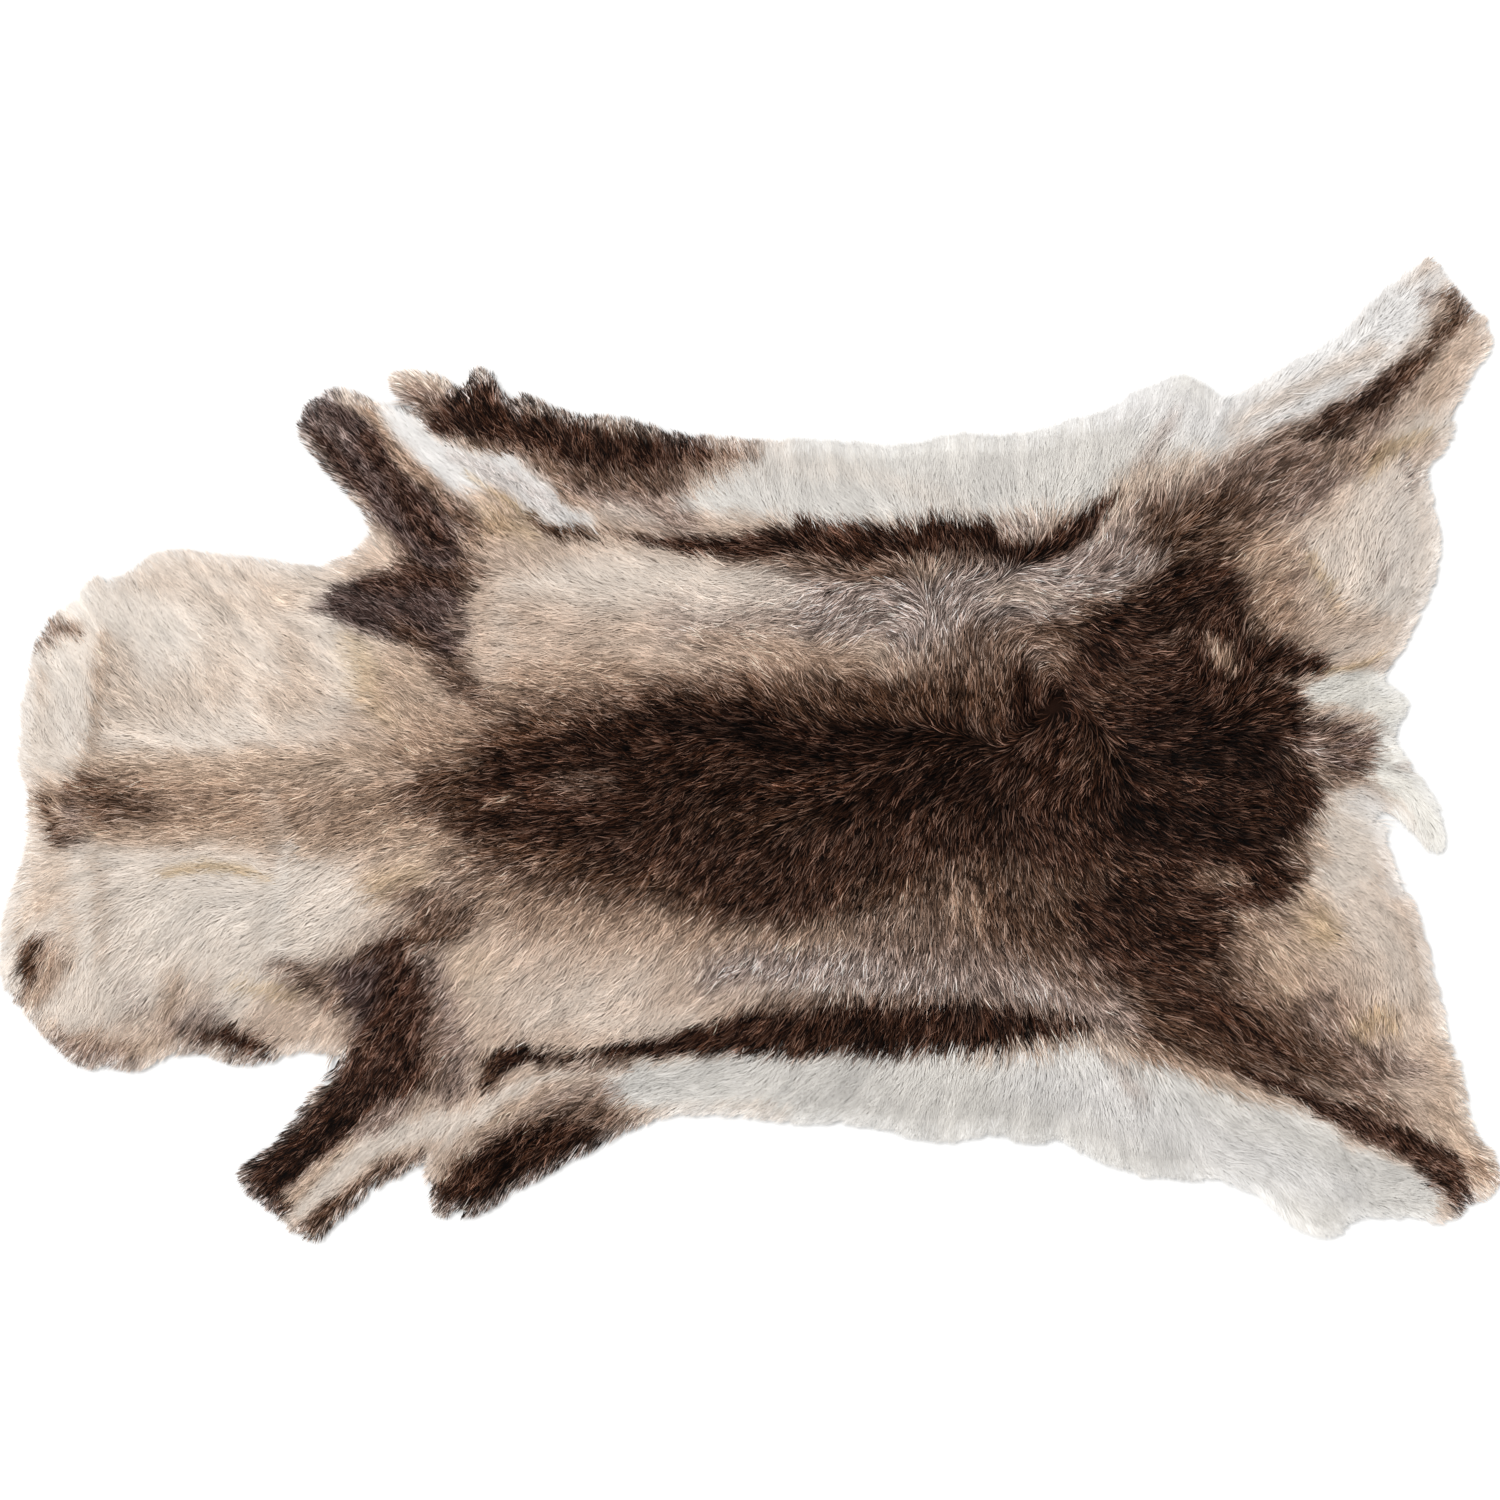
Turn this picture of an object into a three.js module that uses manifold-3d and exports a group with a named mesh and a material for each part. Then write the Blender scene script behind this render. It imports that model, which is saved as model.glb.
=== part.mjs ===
// A whole reindeer hide with its hair on, lying flat with the hair side up.
// It is one piece as taken off the animal: neck, trunk, four leg skins, two breast
// flaps and the tail, so it is modelled as one solid of skin and coat together.
//
// Frame, in millimetres: +X runs from the neck to the tail, +Y to the animal's right
// side and +Z up. The origin is on the ground under the middle of the hide.

import * as THREE from "three";
import { mergeVertices } from "three/addons/utils/BufferGeometryUtils.js";
import Module from "manifold-3d";

const wasm = await Module();
wasm.setup();

// ---- sizes of the whole hide ----
const HIDE_LENGTH = 1300; // neck cut to the tip of the left hind leg
const HIDE_WIDTH = 854; // tip of the right hind leg to tip of the left foreleg
const GRID_STEP = 21; // spacing of the points that carry the coat's height
const GRID_MARGIN = 20; // how far the grid of heights runs past the outline
const OUTLINE_STEP = 12; // spacing of the points along the outline

// ---- depth of the lying coat ----
const RIM_PILE = 6; // thickness at the very edge, skin and hair together
const RIM_WIDTH = 62; // how far in from the edge the coat reaches its full depth
const COAT_DEPTHS = [
  { at: -650, pile: 14 }, // neck cut
  { at: -480, pile: 17 }, // neck
  { at: -300, pile: 20 }, // shoulders
  { at: 0, pile: 25 }, // back
  { at: 330, pile: 28 }, // loin, the thickest coat
  { at: 520, pile: 24 }, // rump
  { at: 650, pile: 14 }, // hocks
];

// ---- outline: sections across the body, each with its right and left edge ----
const TRUNK = [
  { at: -650, right: -184, left: -196 }, // throat corner of the neck cut
  { at: -644, right: -141, left: -207 },
  { at: -636, right: -117, left: -219 },
  { at: -628, right: -92, left: -226 },
  { at: -624, right: 64, left: -231 },
  { at: -620, right: 82, left: -235 },
  { at: -608, right: 111, left: -251 },
  { at: -588, right: 124, left: -270 },
  { at: -568, right: 149, left: -274 },
  { at: -554, right: 143, left: -270 },
  { at: -541, right: 148, left: -277 },
  { at: -522, right: 165, left: -272 },
  { at: -500, right: 171, left: -262 },
  { at: -478, right: 170, left: -261 },
  { at: -444, right: 166, left: -271 },
  { at: -424, right: 163, left: -270 },
  { at: -390, right: 158, left: -258 },
  { at: -370, right: 158, left: -260 },
  { at: -350, right: 166, left: -270 }, // base of the neck
  { at: -328, right: 187, left: -300 },
  { at: -290, right: 250, left: -335 }, // between the forelegs
  { at: -273, right: 324, left: -350 },
  { at: -262, right: 323, left: -355 },
  { at: -252, right: 315, left: -357 }, // nick in the right breast edge
  { at: -243, right: 327, left: -358 },
  { at: -235, right: 330, left: -359 },
  { at: -222, right: 324, left: -360 },
  { at: -212, right: 305, left: -360 },
  { at: -203, right: 296, left: -360 }, // second nick
  { at: -197, right: 306, left: -360 },
  { at: -180, right: 299, left: -357 },
  { at: -155, right: 289, left: -348 },
  { at: -118, right: 287, left: -333 },
  { at: -96, right: 283, left: -325 },
  { at: -66, right: 272, left: -315 }, // flanks begin
  { at: -36, right: 270, left: -315 },
  { at: 0, right: 266, left: -316 },
  { at: 40, right: 267, left: -322 },
  { at: 66, right: 266, left: -320 },
  { at: 90, right: 264, left: -323 },
  { at: 112, right: 262, left: -324 },
  { at: 130, right: 262, left: -331 },
  { at: 152, right: 266, left: -335 },
  { at: 174, right: 271, left: -338 },
  { at: 196, right: 272, left: -332 },
  { at: 217, right: 270, left: -332 },
  { at: 239, right: 273, left: -339 },
  { at: 256, right: 275, left: -340 },
  { at: 264, right: 278, left: -335 },
  { at: 287, right: 287, left: -346 },
  { at: 313, right: 291, left: -357 },
  { at: 329, right: 304, left: -364 }, // groin lobe of the belly
  { at: 341, right: 312, left: -367 },
  { at: 365, right: 320, left: -369 },
  { at: 378, right: 324, left: -370 },
  { at: 391, right: 318, left: -371 },
  { at: 404, right: 306, left: -371 },
  { at: 417, right: 296, left: -372 },
  { at: 440, right: 260, left: -376 },
];

const RIGHT_BREAST_FLAP = [
  { at: -311, right: 325, left: 318 },
  { at: -307, right: 326, left: 309 },
  { at: -302, right: 326, left: 303 },
  { at: -290, right: 326, left: 295 },
  { at: -278, right: 326, left: 270 },
  { at: -262, right: 323, left: 240 },
];

const LEFT_BREAST_FLAP = [
  { at: -283, right: -358, left: -367 },
  { at: -278, right: -354, left: -377 },
  { at: -275, right: -350, left: -391 },
  { at: -272, right: -340, left: -402 },
  { at: -265, right: -335, left: -406 },
  { at: -258, right: -330, left: -399 },
  { at: -247, right: -330, left: -404 },
  { at: -231, right: -330, left: -398 },
  { at: -205, right: -330, left: -380 },
  { at: -179, right: -325, left: -367 },
  { at: -154, right: -320, left: -353 },
  { at: -138, right: -315, left: -348 },
  { at: -131, right: -310, left: -337 },
  { at: -109, right: -300, left: -331 },
  { at: -87, right: -290, left: -322 },
];

const LEFT_HINDQUARTER = [
  { at: 390, right: -60, left: -370 },
  { at: 417, right: -50, left: -372 },
  { at: 439, right: -45, left: -380 },
  { at: 452, right: -42, left: -391 },
  { at: 478, right: -40, left: -415 },
  { at: 504, right: -40, left: -421 },
  { at: 513, right: -40, left: -418 },
  { at: 519, right: -41, left: -409 },
  { at: 527, right: -43, left: -403 },
  { at: 544, right: -62, left: -404 }, // beside the tail
  { at: 552, right: -91, left: -404 },
  { at: 561, right: -109, left: -405 },
  { at: 574, right: -135, left: -406 },
  { at: 584, right: -168, left: -407 },
  { at: 591, right: -196, left: -408 },
  { at: 600, right: -225, left: -409 },
  { at: 603, right: -257, left: -409 },
  { at: 613, right: -269, left: -404 },
  { at: 617, right: -292, left: -400 },
  { at: 623, right: -322, left: -391 },
  { at: 631, right: -337, left: -387 },
  { at: 641, right: -348, left: -388 },
  { at: 647, right: -358, left: -381 },
  { at: 650, right: -366, left: -373 }, // hock end
];

// ---- outline: sections along the body, each with its front and back edge ----
const NECK_CUT = [
  { at: 58, front: -627, back: -600 },
  { at: 30, front: -630, back: -600 },
  { at: 12, front: -631, back: -600 },
  { at: -4, front: -634, back: -600 }, // small point beside the crest
  { at: -22, front: -630, back: -600 },
  { at: -32, front: -624, back: -600 },
  { at: -45, front: -627, back: -600 },
];

const RIGHT_FORELEG = [
  { at: 311, front: -361, back: -354 }, // knee end
  { at: 308, front: -369, back: -345 },
  { at: 303, front: -378, back: -333 },
  { at: 297, front: -386, back: -315 },
  { at: 291, front: -390, back: -300 },
  { at: 281, front: -392, back: -279 },
  { at: 268, front: -386, back: -270 },
  { at: 257, front: -377, back: -265 },
  { at: 245, front: -370, back: -260 },
  { at: 222, front: -348, back: -260 },
  { at: 211, front: -338, back: -260 },
  { at: 200, front: -331, back: -260 },
  { at: 186, front: -328, back: -260 },
  { at: 160, front: -320, back: -260 },
];

const LEFT_FORELEG = [
  { at: -240, front: -340, back: -250 },
  { at: -270, front: -356, back: -250 },
  { at: -285, front: -363, back: -250 },
  { at: -293, front: -374, back: -250 },
  { at: -304, front: -385, back: -250 },
  { at: -318, front: -391, back: -250 },
  { at: -338, front: -409, back: -258 },
  { at: -352, front: -426, back: -275 },
  { at: -368, front: -444, back: -304 },
  { at: -376, front: -442, back: -324 },
  { at: -391, front: -425, back: -342 },
  { at: -406, front: -407, back: -357 },
  { at: -415, front: -398, back: -366 },
  { at: -421, front: -388, back: -373 },
  { at: -427, front: -381, back: -379 }, // knee end
];

const RIGHT_HINDQUARTER = [
  { at: -62, front: 400, back: 542 },
  { at: 0, front: 400, back: 543 },
  { at: 61, front: 400, back: 545 }, // beside the tail
  { at: 70, front: 400, back: 549 },
  { at: 88, front: 400, back: 565 },
  { at: 109, front: 400, back: 573 },
  { at: 126, front: 400, back: 582 },
  { at: 144, front: 400, back: 591 },
  { at: 178, front: 400, back: 597 },
  { at: 218, front: 400, back: 590 },
  { at: 237, front: 400, back: 586 },
  { at: 248, front: 400, back: 588 },
  { at: 257, front: 400, back: 596 },
  { at: 266, front: 400, back: 606 },
  { at: 280, front: 402, back: 611 },
  { at: 295, front: 414, back: 605 },
  { at: 307, front: 430, back: 616 },
  { at: 318, front: 445, back: 622 },
  { at: 329, front: 461, back: 626 },
  { at: 349, front: 502, back: 641 },
  { at: 357, front: 511, back: 643 },
  { at: 362, front: 516, back: 636 },
  { at: 374, front: 529, back: 638 },
  { at: 378, front: 533, back: 628 },
  { at: 389, front: 543, back: 620 },
  { at: 398, front: 552, back: 612 },
  { at: 412, front: 570, back: 600 },
  { at: 422, front: 582, back: 595 },
  { at: 427, front: 586, back: 590 }, // hock end
];

const TAIL = [
  { at: 62, front: 500, back: 545 },
  { at: 52, front: 500, back: 549 },
  { at: 47, front: 500, back: 564 },
  { at: 40, front: 500, back: 569 }, // white tuft over the tail's root
  { at: 31, front: 500, back: 568 },
  { at: 20, front: 500, back: 560 },
  { at: 8, front: 500, back: 558 },
  { at: -10, front: 500, back: 568 },
  { at: -30, front: 500, back: 582 },
  { at: -48, front: 500, back: 594 },
  { at: -52, front: 562, back: 597 },
  { at: -61, front: 569, back: 600 },
  { at: -71, front: 577, back: 602 },
  { at: -83, front: 587, back: 604 },
  { at: -88, front: 595, back: 601 }, // tail tip
];

// ---- soft folds, where the skin lifts off the ground ----
// Each runs from one end to the other, is as wide as given and rises to its height.
const FOLDS = [
  { from: [-566, 92], to: [-564, -60], wide: 58, rise: 9 }, // across the neck, upper half
  { from: [-562, -60], to: [-558, -225], wide: 56, rise: 7 }, // the same, lower half
  { from: [-512, -97], to: [-430, -98], wide: 52, rise: 5 }, // along the neck
  { from: [-414, -86], to: [-408, -212], wide: 56, rise: 6 }, // base of the neck
  { from: [-222, 168], to: [-214, 24], wide: 60, rise: 4 }, // over the right shoulder
  { from: [-305, 272], to: [-196, 206], wide: 58, rise: 7 }, // right armpit, leg part
  { from: [-196, 206], to: [-75, 184], wide: 56, rise: 5 }, // right armpit, flank part
  { from: [-268, -340], to: [-176, -262], wide: 60, rise: 7 }, // left armpit
  { from: [466, 284], to: [520, 290], wide: 54, rise: 6 }, // right thigh
  { from: [330, -262], to: [440, -330], wide: 60, rise: 6 }, // left groin
];
const FLOOR_CLEARANCE = 0.4; // lower lifts than this lie on the ground

// ---- slow swells of the coat, as soft mounds (rise) or hollows (negative) ----
const SWELLS = [
  { at: [120, -20], along: 420, across: 90, rise: 3 }, // thicker mane of hair on the back
  { at: [430, 90], along: 60, across: 50, rise: 3 }, // right rump tuft
  { at: [450, -60], along: 55, across: 60, rise: 3 }, // left rump tuft
  { at: [250, 150], along: 50, across: 60, rise: 2 }, // right flank swirl
  { at: [-60, 215], along: 90, across: 24, rise: -4 }, // hollow beside the right breast
  { at: [-120, -240], along: 80, across: 24, rise: -3 }, // hollow beside the left breast
  { at: [330, 300], along: 70, across: 30, rise: -4 }, // thin belly skin at the groin
  { at: [-500, 60], along: 60, across: 70, rise: -3 }, // short hair on the neck
];

const coatMaterial = new THREE.MeshStandardMaterial({
  color: 0x6b5646,
  roughness: 0.9,
  metalness: 0,
});

function clamp01(value) {
  return Math.min(1, Math.max(0, value));
}

// Eases from 0 to 1 with level ends.
function ease(value) {
  const t = clamp01(value);
  return t * t * (3 - 2 * t);
}

// A manifold solid from any closed three.js geometry.
function solidFrom(geometry) {
  geometry.deleteAttribute("normal");
  geometry.deleteAttribute("uv");
  const merged = mergeVertices(geometry, 1e-4);
  return new wasm.Manifold(new wasm.Mesh({
    numProp: 3,
    vertProperties: Float32Array.from(merged.attributes.position.array),
    triVerts: Uint32Array.from(merged.index.array),
  }));
}

// One edge of a lobe: a smooth curve through the ends of its sections.
function edgeCurve(ends) {
  const curve = new THREE.CatmullRomCurve3(ends, false, "centripetal");
  const spans = ends.length - 1;
  const points = [];
  for (let span = 0; span < spans; span += 1) {
    const steps = Math.max(1, Math.round(ends[span].distanceTo(ends[span + 1]) / OUTLINE_STEP));
    for (let step = 0; step < steps; step += 1) {
      points.push(curve.getPoint((span + step / steps) / spans));
    }
  }
  return [...points, ends[spans]];
}

// An upright prism over the lobe between two edges.
function lobePrism(firstEdge, secondEdge) {
  const loop = [...edgeCurve(firstEdge), ...edgeCurve(secondEdge).reverse()];
  const shape = new THREE.Shape(loop.map((point) => new THREE.Vector2(point.x, point.y)));
  const deepest = 100;
  const geometry = new THREE.ExtrudeGeometry(shape, { depth: deepest, bevelEnabled: false });
  geometry.translate(0, 0, -deepest / 2);
  return solidFrom(geometry);
}

// A lobe whose sections run across the body.
function lobeAcross(sections) {
  const right = sections.map((row) => new THREE.Vector3(row.at, row.right, 0));
  const left = sections.map((row) => new THREE.Vector3(row.at, row.left, 0));
  return lobePrism(right, left);
}

// A lobe whose sections run along the body.
function lobeAlong(sections) {
  const front = sections.map((row) => new THREE.Vector3(row.front, row.at, 0));
  const back = sections.map((row) => new THREE.Vector3(row.back, row.at, 0));
  return lobePrism(front, back);
}

// The whole outline as one prism.
function outlinePrism() {
  const across = [TRUNK, RIGHT_BREAST_FLAP, LEFT_BREAST_FLAP, LEFT_HINDQUARTER];
  const along = [NECK_CUT, RIGHT_FORELEG, LEFT_FORELEG, RIGHT_HINDQUARTER, TAIL];
  const lobes = [...across.map(lobeAcross), ...along.map(lobeAlong)];
  return lobes.reduce((whole, lobe) => whole.add(lobe));
}

// The points of the outline: the corners of the prism's upright faces.
function outlinePoints(prism) {
  const { vertProperties, triVerts, numProp } = prism.getMesh();
  const points = [];
  for (let i = 0; i < triVerts.length; i += 3) {
    const corners = [...triVerts.slice(i, i + 3)];
    const heights = corners.map((corner) => vertProperties[corner * numProp + 2]);
    if (Math.min(...heights) < Math.max(...heights)) {
      const at = corners[0] * numProp;
      points.push(new THREE.Vector2(vertProperties[at], vertProperties[at + 1]));
    }
  }
  return points;
}

// Full depth of the coat over the middle of the body.
function coatDepth(x) {
  const last = COAT_DEPTHS.length - 1;
  const next = COAT_DEPTHS.findIndex((row) => row.at > x);
  if (next <= 0) {
    return COAT_DEPTHS[next === 0 ? 0 : last].pile;
  }
  const before = COAT_DEPTHS[next - 1];
  const after = COAT_DEPTHS[next];
  const share = ease((x - before.at) / (after.at - before.at));
  return before.pile + (after.pile - before.pile) * share;
}

// Height of the skin above the ground: the highest fold that passes here.
function skinLift(x, y) {
  let lift = 0;
  for (const fold of FOLDS) {
    const start = new THREE.Vector2(...fold.from);
    const run = new THREE.Vector2(...fold.to).sub(start);
    const offset = new THREE.Vector2(x, y).sub(start);
    const share = clamp01(offset.dot(run) / run.lengthSq());
    const away = offset.distanceTo(run.multiplyScalar(share));
    lift = Math.max(lift, fold.rise * ease(1 - away / (fold.wide / 2)));
  }
  return lift > FLOOR_CLEARANCE ? lift : 0;
}

// Added height of the coat's slow mounds and hollows, each a round bell.
function coatSwell(x, y) {
  return SWELLS.reduce((sum, swell) => {
    const u = (x - swell.at[0]) / swell.along;
    const v = (y - swell.at[1]) / swell.across;
    return sum + swell.rise * Math.exp(-(u * u + v * v));
  }, 0);
}

// A wide slab whose underside follows the skin and whose top follows the hair.
function coatSlab(outline) {
  const wideX = HIDE_LENGTH + 2 * GRID_MARGIN;
  const wideY = HIDE_WIDTH + 2 * GRID_MARGIN;
  const stepsX = Math.round(wideX / GRID_STEP);
  const stepsY = Math.round(wideY / GRID_STEP);
  const geometry = new THREE.BoxGeometry(wideX, wideY, 2, stepsX, stepsY, 1);
  const position = geometry.attributes.position;
  const here = new THREE.Vector2();
  for (let i = 0; i < position.count; i += 1) {
    here.set(position.getX(i), position.getY(i));
    const lift = skinLift(here.x, here.y);
    const inside = Math.min(...outline.map((point) => point.distanceTo(here)));
    const full = coatDepth(here.x) + coatSwell(here.x, here.y);
    const pile = RIM_PILE + (full - RIM_PILE) * ease(inside / RIM_WIDTH);
    position.setZ(i, position.getZ(i) > 0 ? lift + pile : lift);
  }
  return solidFrom(geometry);
}

// The finished hide: the slab of coat, cut to the outline.
function hideMesh() {
  const prism = outlinePrism();
  const solid = coatSlab(outlinePoints(prism)).intersect(prism);
  const { vertProperties, triVerts } = solid.getMesh();
  const geometry = new THREE.BufferGeometry();
  geometry.setAttribute("position", new THREE.BufferAttribute(vertProperties, 3));
  geometry.setIndex(new THREE.BufferAttribute(triVerts, 1));
  geometry.computeVertexNormals();
  const mesh = new THREE.Mesh(geometry, coatMaterial);
  mesh.name = "hide";
  return mesh;
}

const group = new THREE.Group();
group.add(hideMesh());

export default group;
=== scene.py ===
import math
import bpy
import numpy as np
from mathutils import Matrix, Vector


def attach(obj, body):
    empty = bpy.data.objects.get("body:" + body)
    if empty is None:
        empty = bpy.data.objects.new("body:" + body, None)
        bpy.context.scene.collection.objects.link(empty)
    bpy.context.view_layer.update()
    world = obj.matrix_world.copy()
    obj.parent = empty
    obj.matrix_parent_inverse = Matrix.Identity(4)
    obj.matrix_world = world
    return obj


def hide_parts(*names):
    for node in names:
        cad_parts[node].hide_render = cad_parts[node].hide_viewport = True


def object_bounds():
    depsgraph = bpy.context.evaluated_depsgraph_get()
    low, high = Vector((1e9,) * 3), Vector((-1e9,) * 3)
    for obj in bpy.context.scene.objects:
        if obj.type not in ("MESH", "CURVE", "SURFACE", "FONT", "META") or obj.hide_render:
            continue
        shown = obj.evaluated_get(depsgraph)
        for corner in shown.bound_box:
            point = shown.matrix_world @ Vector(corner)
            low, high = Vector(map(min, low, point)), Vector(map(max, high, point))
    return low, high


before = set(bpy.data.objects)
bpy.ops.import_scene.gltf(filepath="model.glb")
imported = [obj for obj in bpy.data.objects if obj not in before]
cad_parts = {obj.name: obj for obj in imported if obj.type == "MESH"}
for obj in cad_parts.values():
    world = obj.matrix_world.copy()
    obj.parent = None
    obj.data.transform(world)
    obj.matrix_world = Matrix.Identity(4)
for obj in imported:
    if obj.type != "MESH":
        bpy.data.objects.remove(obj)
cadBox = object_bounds()
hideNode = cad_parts["hide"]
mm = 0.001
tiny = 1e-9            # keeps a divisor above nought
print("frame loaded")

# where each noise and each lot of random draws starts
seeds = {"roots": 5, "wide": (11, 13), "fine": (12, 14), "clouds": (21, 22), "streaks": 23, "cockle": 31,
         "tufts": 32, "lock": 41, "wisp": 45, "waves": (51, 52), "hair": 60}
noiseCells = 128       # squares of noise, after which it repeats

# maps of the hide, seen from above
maps = {
    "step": 2.5,       # mm between two points of every map
    "margin": 20,      # mm that the maps reach past the hide
    "smooth": 6,       # blur passes that round the facets of the heights
    "spread": 60,      # blur passes that carry the heights past the rim
    "leastShare": 0.02,         # share of known points round a place for its own height to count
    "rimSmooth": 2,    # blur passes on the distance to the rim before its slope is taken
    "lying": 1e-8,     # m², twice the plan area above which a triangle lies
    "upright": 1e-9,   # m², the same below which it stands upright
    "shortest": 1e-5,  # m, shortest piece of rim
    "unmet": 1.0,      # m, height where no triangle lies, above or below any hide
    # round gaps bitten out of the fringe: mm along, mm to the side, mm of radius
    "notches": [(-254, 327, 14), (-208, 310, 8), (-253, -399, 4)],
}
step = maps["step"] * mm
columns = np.arange(cadBox[0].x - maps["margin"] * mm, cadBox[1].x + maps["margin"] * mm, step)
rows = np.arange(cadBox[0].y - maps["margin"] * mm, cadBox[1].y + maps["margin"] * mm, step)
mapX, mapY = np.meshgrid(columns, rows)


def ease(t):
    # 0 to 1 with a soft start and end: t² (3 - 2t)
    t = np.clip(t, 0, 1)
    return t * t * (3 - 2 * t)


def unit(vectors):
    # each vector divided by its own length
    return vectors / np.maximum(np.linalg.norm(vectors, axis=-1, keepdims=True), tiny)


def nodeTriangles(node):
    # the corners of a node's loose triangles, as triangle, corner, xyz
    places = np.zeros(len(node.data.vertices) * 3, np.float32)
    node.data.vertices.foreach_get("co", places)
    corners = np.zeros(len(node.data.loops), np.int32)
    node.data.loops.foreach_get("vertex_index", corners)
    return places.reshape(-1, 3)[corners].reshape(-1, 3, 3).astype(float)


def planArea(triangles):
    # twice the signed area of each triangle seen from above: the cross product of two sides
    sideA = triangles[:, 1, :2] - triangles[:, 0, :2]
    sideB = triangles[:, 2, :2] - triangles[:, 0, :2]
    return sideA[:, 0] * sideB[:, 1] - sideA[:, 1] * sideB[:, 0]


def heightMaps(triangles):
    # each lying triangle is laid over the map points it covers, where its height is the mean of its
    # corners weighed by the areas opposite them; a point keeps the highest and the lowest it meets
    area = planArea(triangles)
    lies = np.abs(area) > maps["lying"]
    lying, area = triangles[lies], area[lies][:, None, None]
    a, b, c = (lying[:, k, :, None, None] for k in range(3))
    start = np.floor((lying[:, :, :2].min(1) - (columns[0], rows[0])) / step).astype(int)
    window = np.arange(int(np.ceil(np.ptp(lying[:, :, :2], axis=1).max() / step)) + 2)
    column = start[:, 0, None, None] + window[None, :, None] + 0 * window[None, None, :]
    row = start[:, 1, None, None] + window[None, None, :] + 0 * window[None, :, None]
    x = columns[0] + column * step - a[:, 0]
    y = rows[0] + row * step - a[:, 1]
    partB = (x * (c[:, 1] - a[:, 1]) - y * (c[:, 0] - a[:, 0])) / area
    partC = (y * (b[:, 0] - a[:, 0]) - x * (b[:, 1] - a[:, 1])) / area
    slack = 1e-6       # so that no point falls between two triangles
    covers = (partB > -slack) & (partC > -slack) & (partB + partC < 1 + slack)
    height = (1 - partB - partC) * a[:, 2] + partB * b[:, 2] + partC * c[:, 2]
    high, low = np.full(mapX.shape, -maps["unmet"]), np.full(mapX.shape, maps["unmet"])
    np.maximum.at(high, (row[covers], column[covers]), height[covers])
    np.minimum.at(low, (row[covers], column[covers]), height[covers])
    return high, low


def outlineOf(triangles):
    # the two plan points farthest apart on each upright triangle, which is a piece of the hide's rim
    upright = triangles[np.abs(planArea(triangles)) < maps["upright"]][:, :, :2]
    gaps = np.linalg.norm(upright - np.roll(upright, -1, axis=1), axis=2)
    first = gaps.argmax(1)
    which = np.arange(len(upright))
    ends = np.stack([upright[which, first], upright[which, (first + 1) % 3]], 1)
    ends = ends[gaps.max(1) > maps["shortest"]]
    turned = ends[:, 0, 0] > ends[:, 1, 0]
    ends[turned] = ends[turned][:, ::-1]
    return np.unique(np.round(ends, 6), axis=0)


def rimMap(ends, inside):
    # distance from each map point to the nearest piece of rim, positive on the hide
    start, along = ends[:, 0], ends[:, 1] - ends[:, 0]
    long2 = (along ** 2).sum(1)
    near = np.zeros(mapX.shape)
    for k in range(len(rows)):
        x = columns[:, None] - start[None, :, 0]
        y = rows[k] - start[None, :, 1]
        part = np.clip((x * along[:, 0] + y * along[:, 1]) / long2, 0, 1)
        near[k] = ((x - part * along[:, 0]) ** 2 + (y - part * along[:, 1]) ** 2).min(1)
    return np.sqrt(near) * np.where(inside, 1, -1)


def blur(values, passes):
    # each pass makes a point a quarter of each neighbour and half itself, along both ways
    for _ in range(passes):
        for axis in (0, 1):
            values = (np.roll(values, 1, axis) + 2 * values + np.roll(values, -1, axis)) / 4
    return values


def meanNear(values, known, passes):
    # the blurred known values divided by the blurred share of known points, and that share
    share = blur(known.astype(float), passes)
    return blur(np.where(known, values, 0), passes) / np.maximum(share, tiny), share


def carriedOut(values, known):
    # heights rounded on the hide, and past its rim the weighed mean of what is near
    close, share = meanNear(values, known, maps["smooth"])
    far, _ = meanNear(values, known, maps["spread"])
    return np.where(share > maps["leastShare"], close, far)


def readMap(values, x, y):
    # the mean of the four map points round a place, each by its nearness
    last = 1.001       # just inside the last point
    column = np.clip((x - columns[0]) / step, 0, len(columns) - last)
    row = np.clip((y - rows[0]) / step, 0, len(rows) - last)
    i, j = column.astype(int), row.astype(int)
    u, v = column - i, row - j
    if values.ndim == 3:
        u, v = u[..., None], v[..., None]
    low = values[j, i] * (1 - u) + values[j, i + 1] * u
    high = values[j + 1, i] * (1 - u) + values[j + 1, i + 1] * u
    return low * (1 - v) + high * v


def noise(x, y, size, seed):
    # smooth noise from -1 to 1: random values on a square lattice of that size, eased between points
    lattice = np.random.default_rng(seed).uniform(-1, 1, (noiseCells, noiseCells))
    i, j = np.floor(x / size).astype(int), np.floor(y / size).astype(int)
    u, v = ease(x / size - i), ease(y / size - j)
    i, iNext, j, jNext = (k % noiseCells for k in (i, i + 1, j, j + 1))
    low = lattice[j, i] * (1 - u) + lattice[j, iNext] * u
    high = lattice[jNext, i] * (1 - u) + lattice[jNext, iNext] * u
    return low * (1 - v) + high * v


hideCorners = nodeTriangles(hideNode)
topMap, underMap = heightMaps(hideCorners)
known = topMap > -maps["unmet"]
rimDistance = rimMap(outlineOf(hideCorners), known)
for x, y, reach in maps["notches"]:
    rimDistance = np.minimum(rimDistance, np.hypot(mapX - x * mm, mapY - y * mm) - reach * mm)
topMap = carriedOut(topMap, known)
underMap = carriedOut(underMap, known)
rimY, rimX = np.gradient(blur(rimDistance, maps["rimSmooth"]), step)
print("maps worked out,", len(rows), "by", len(columns))


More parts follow.
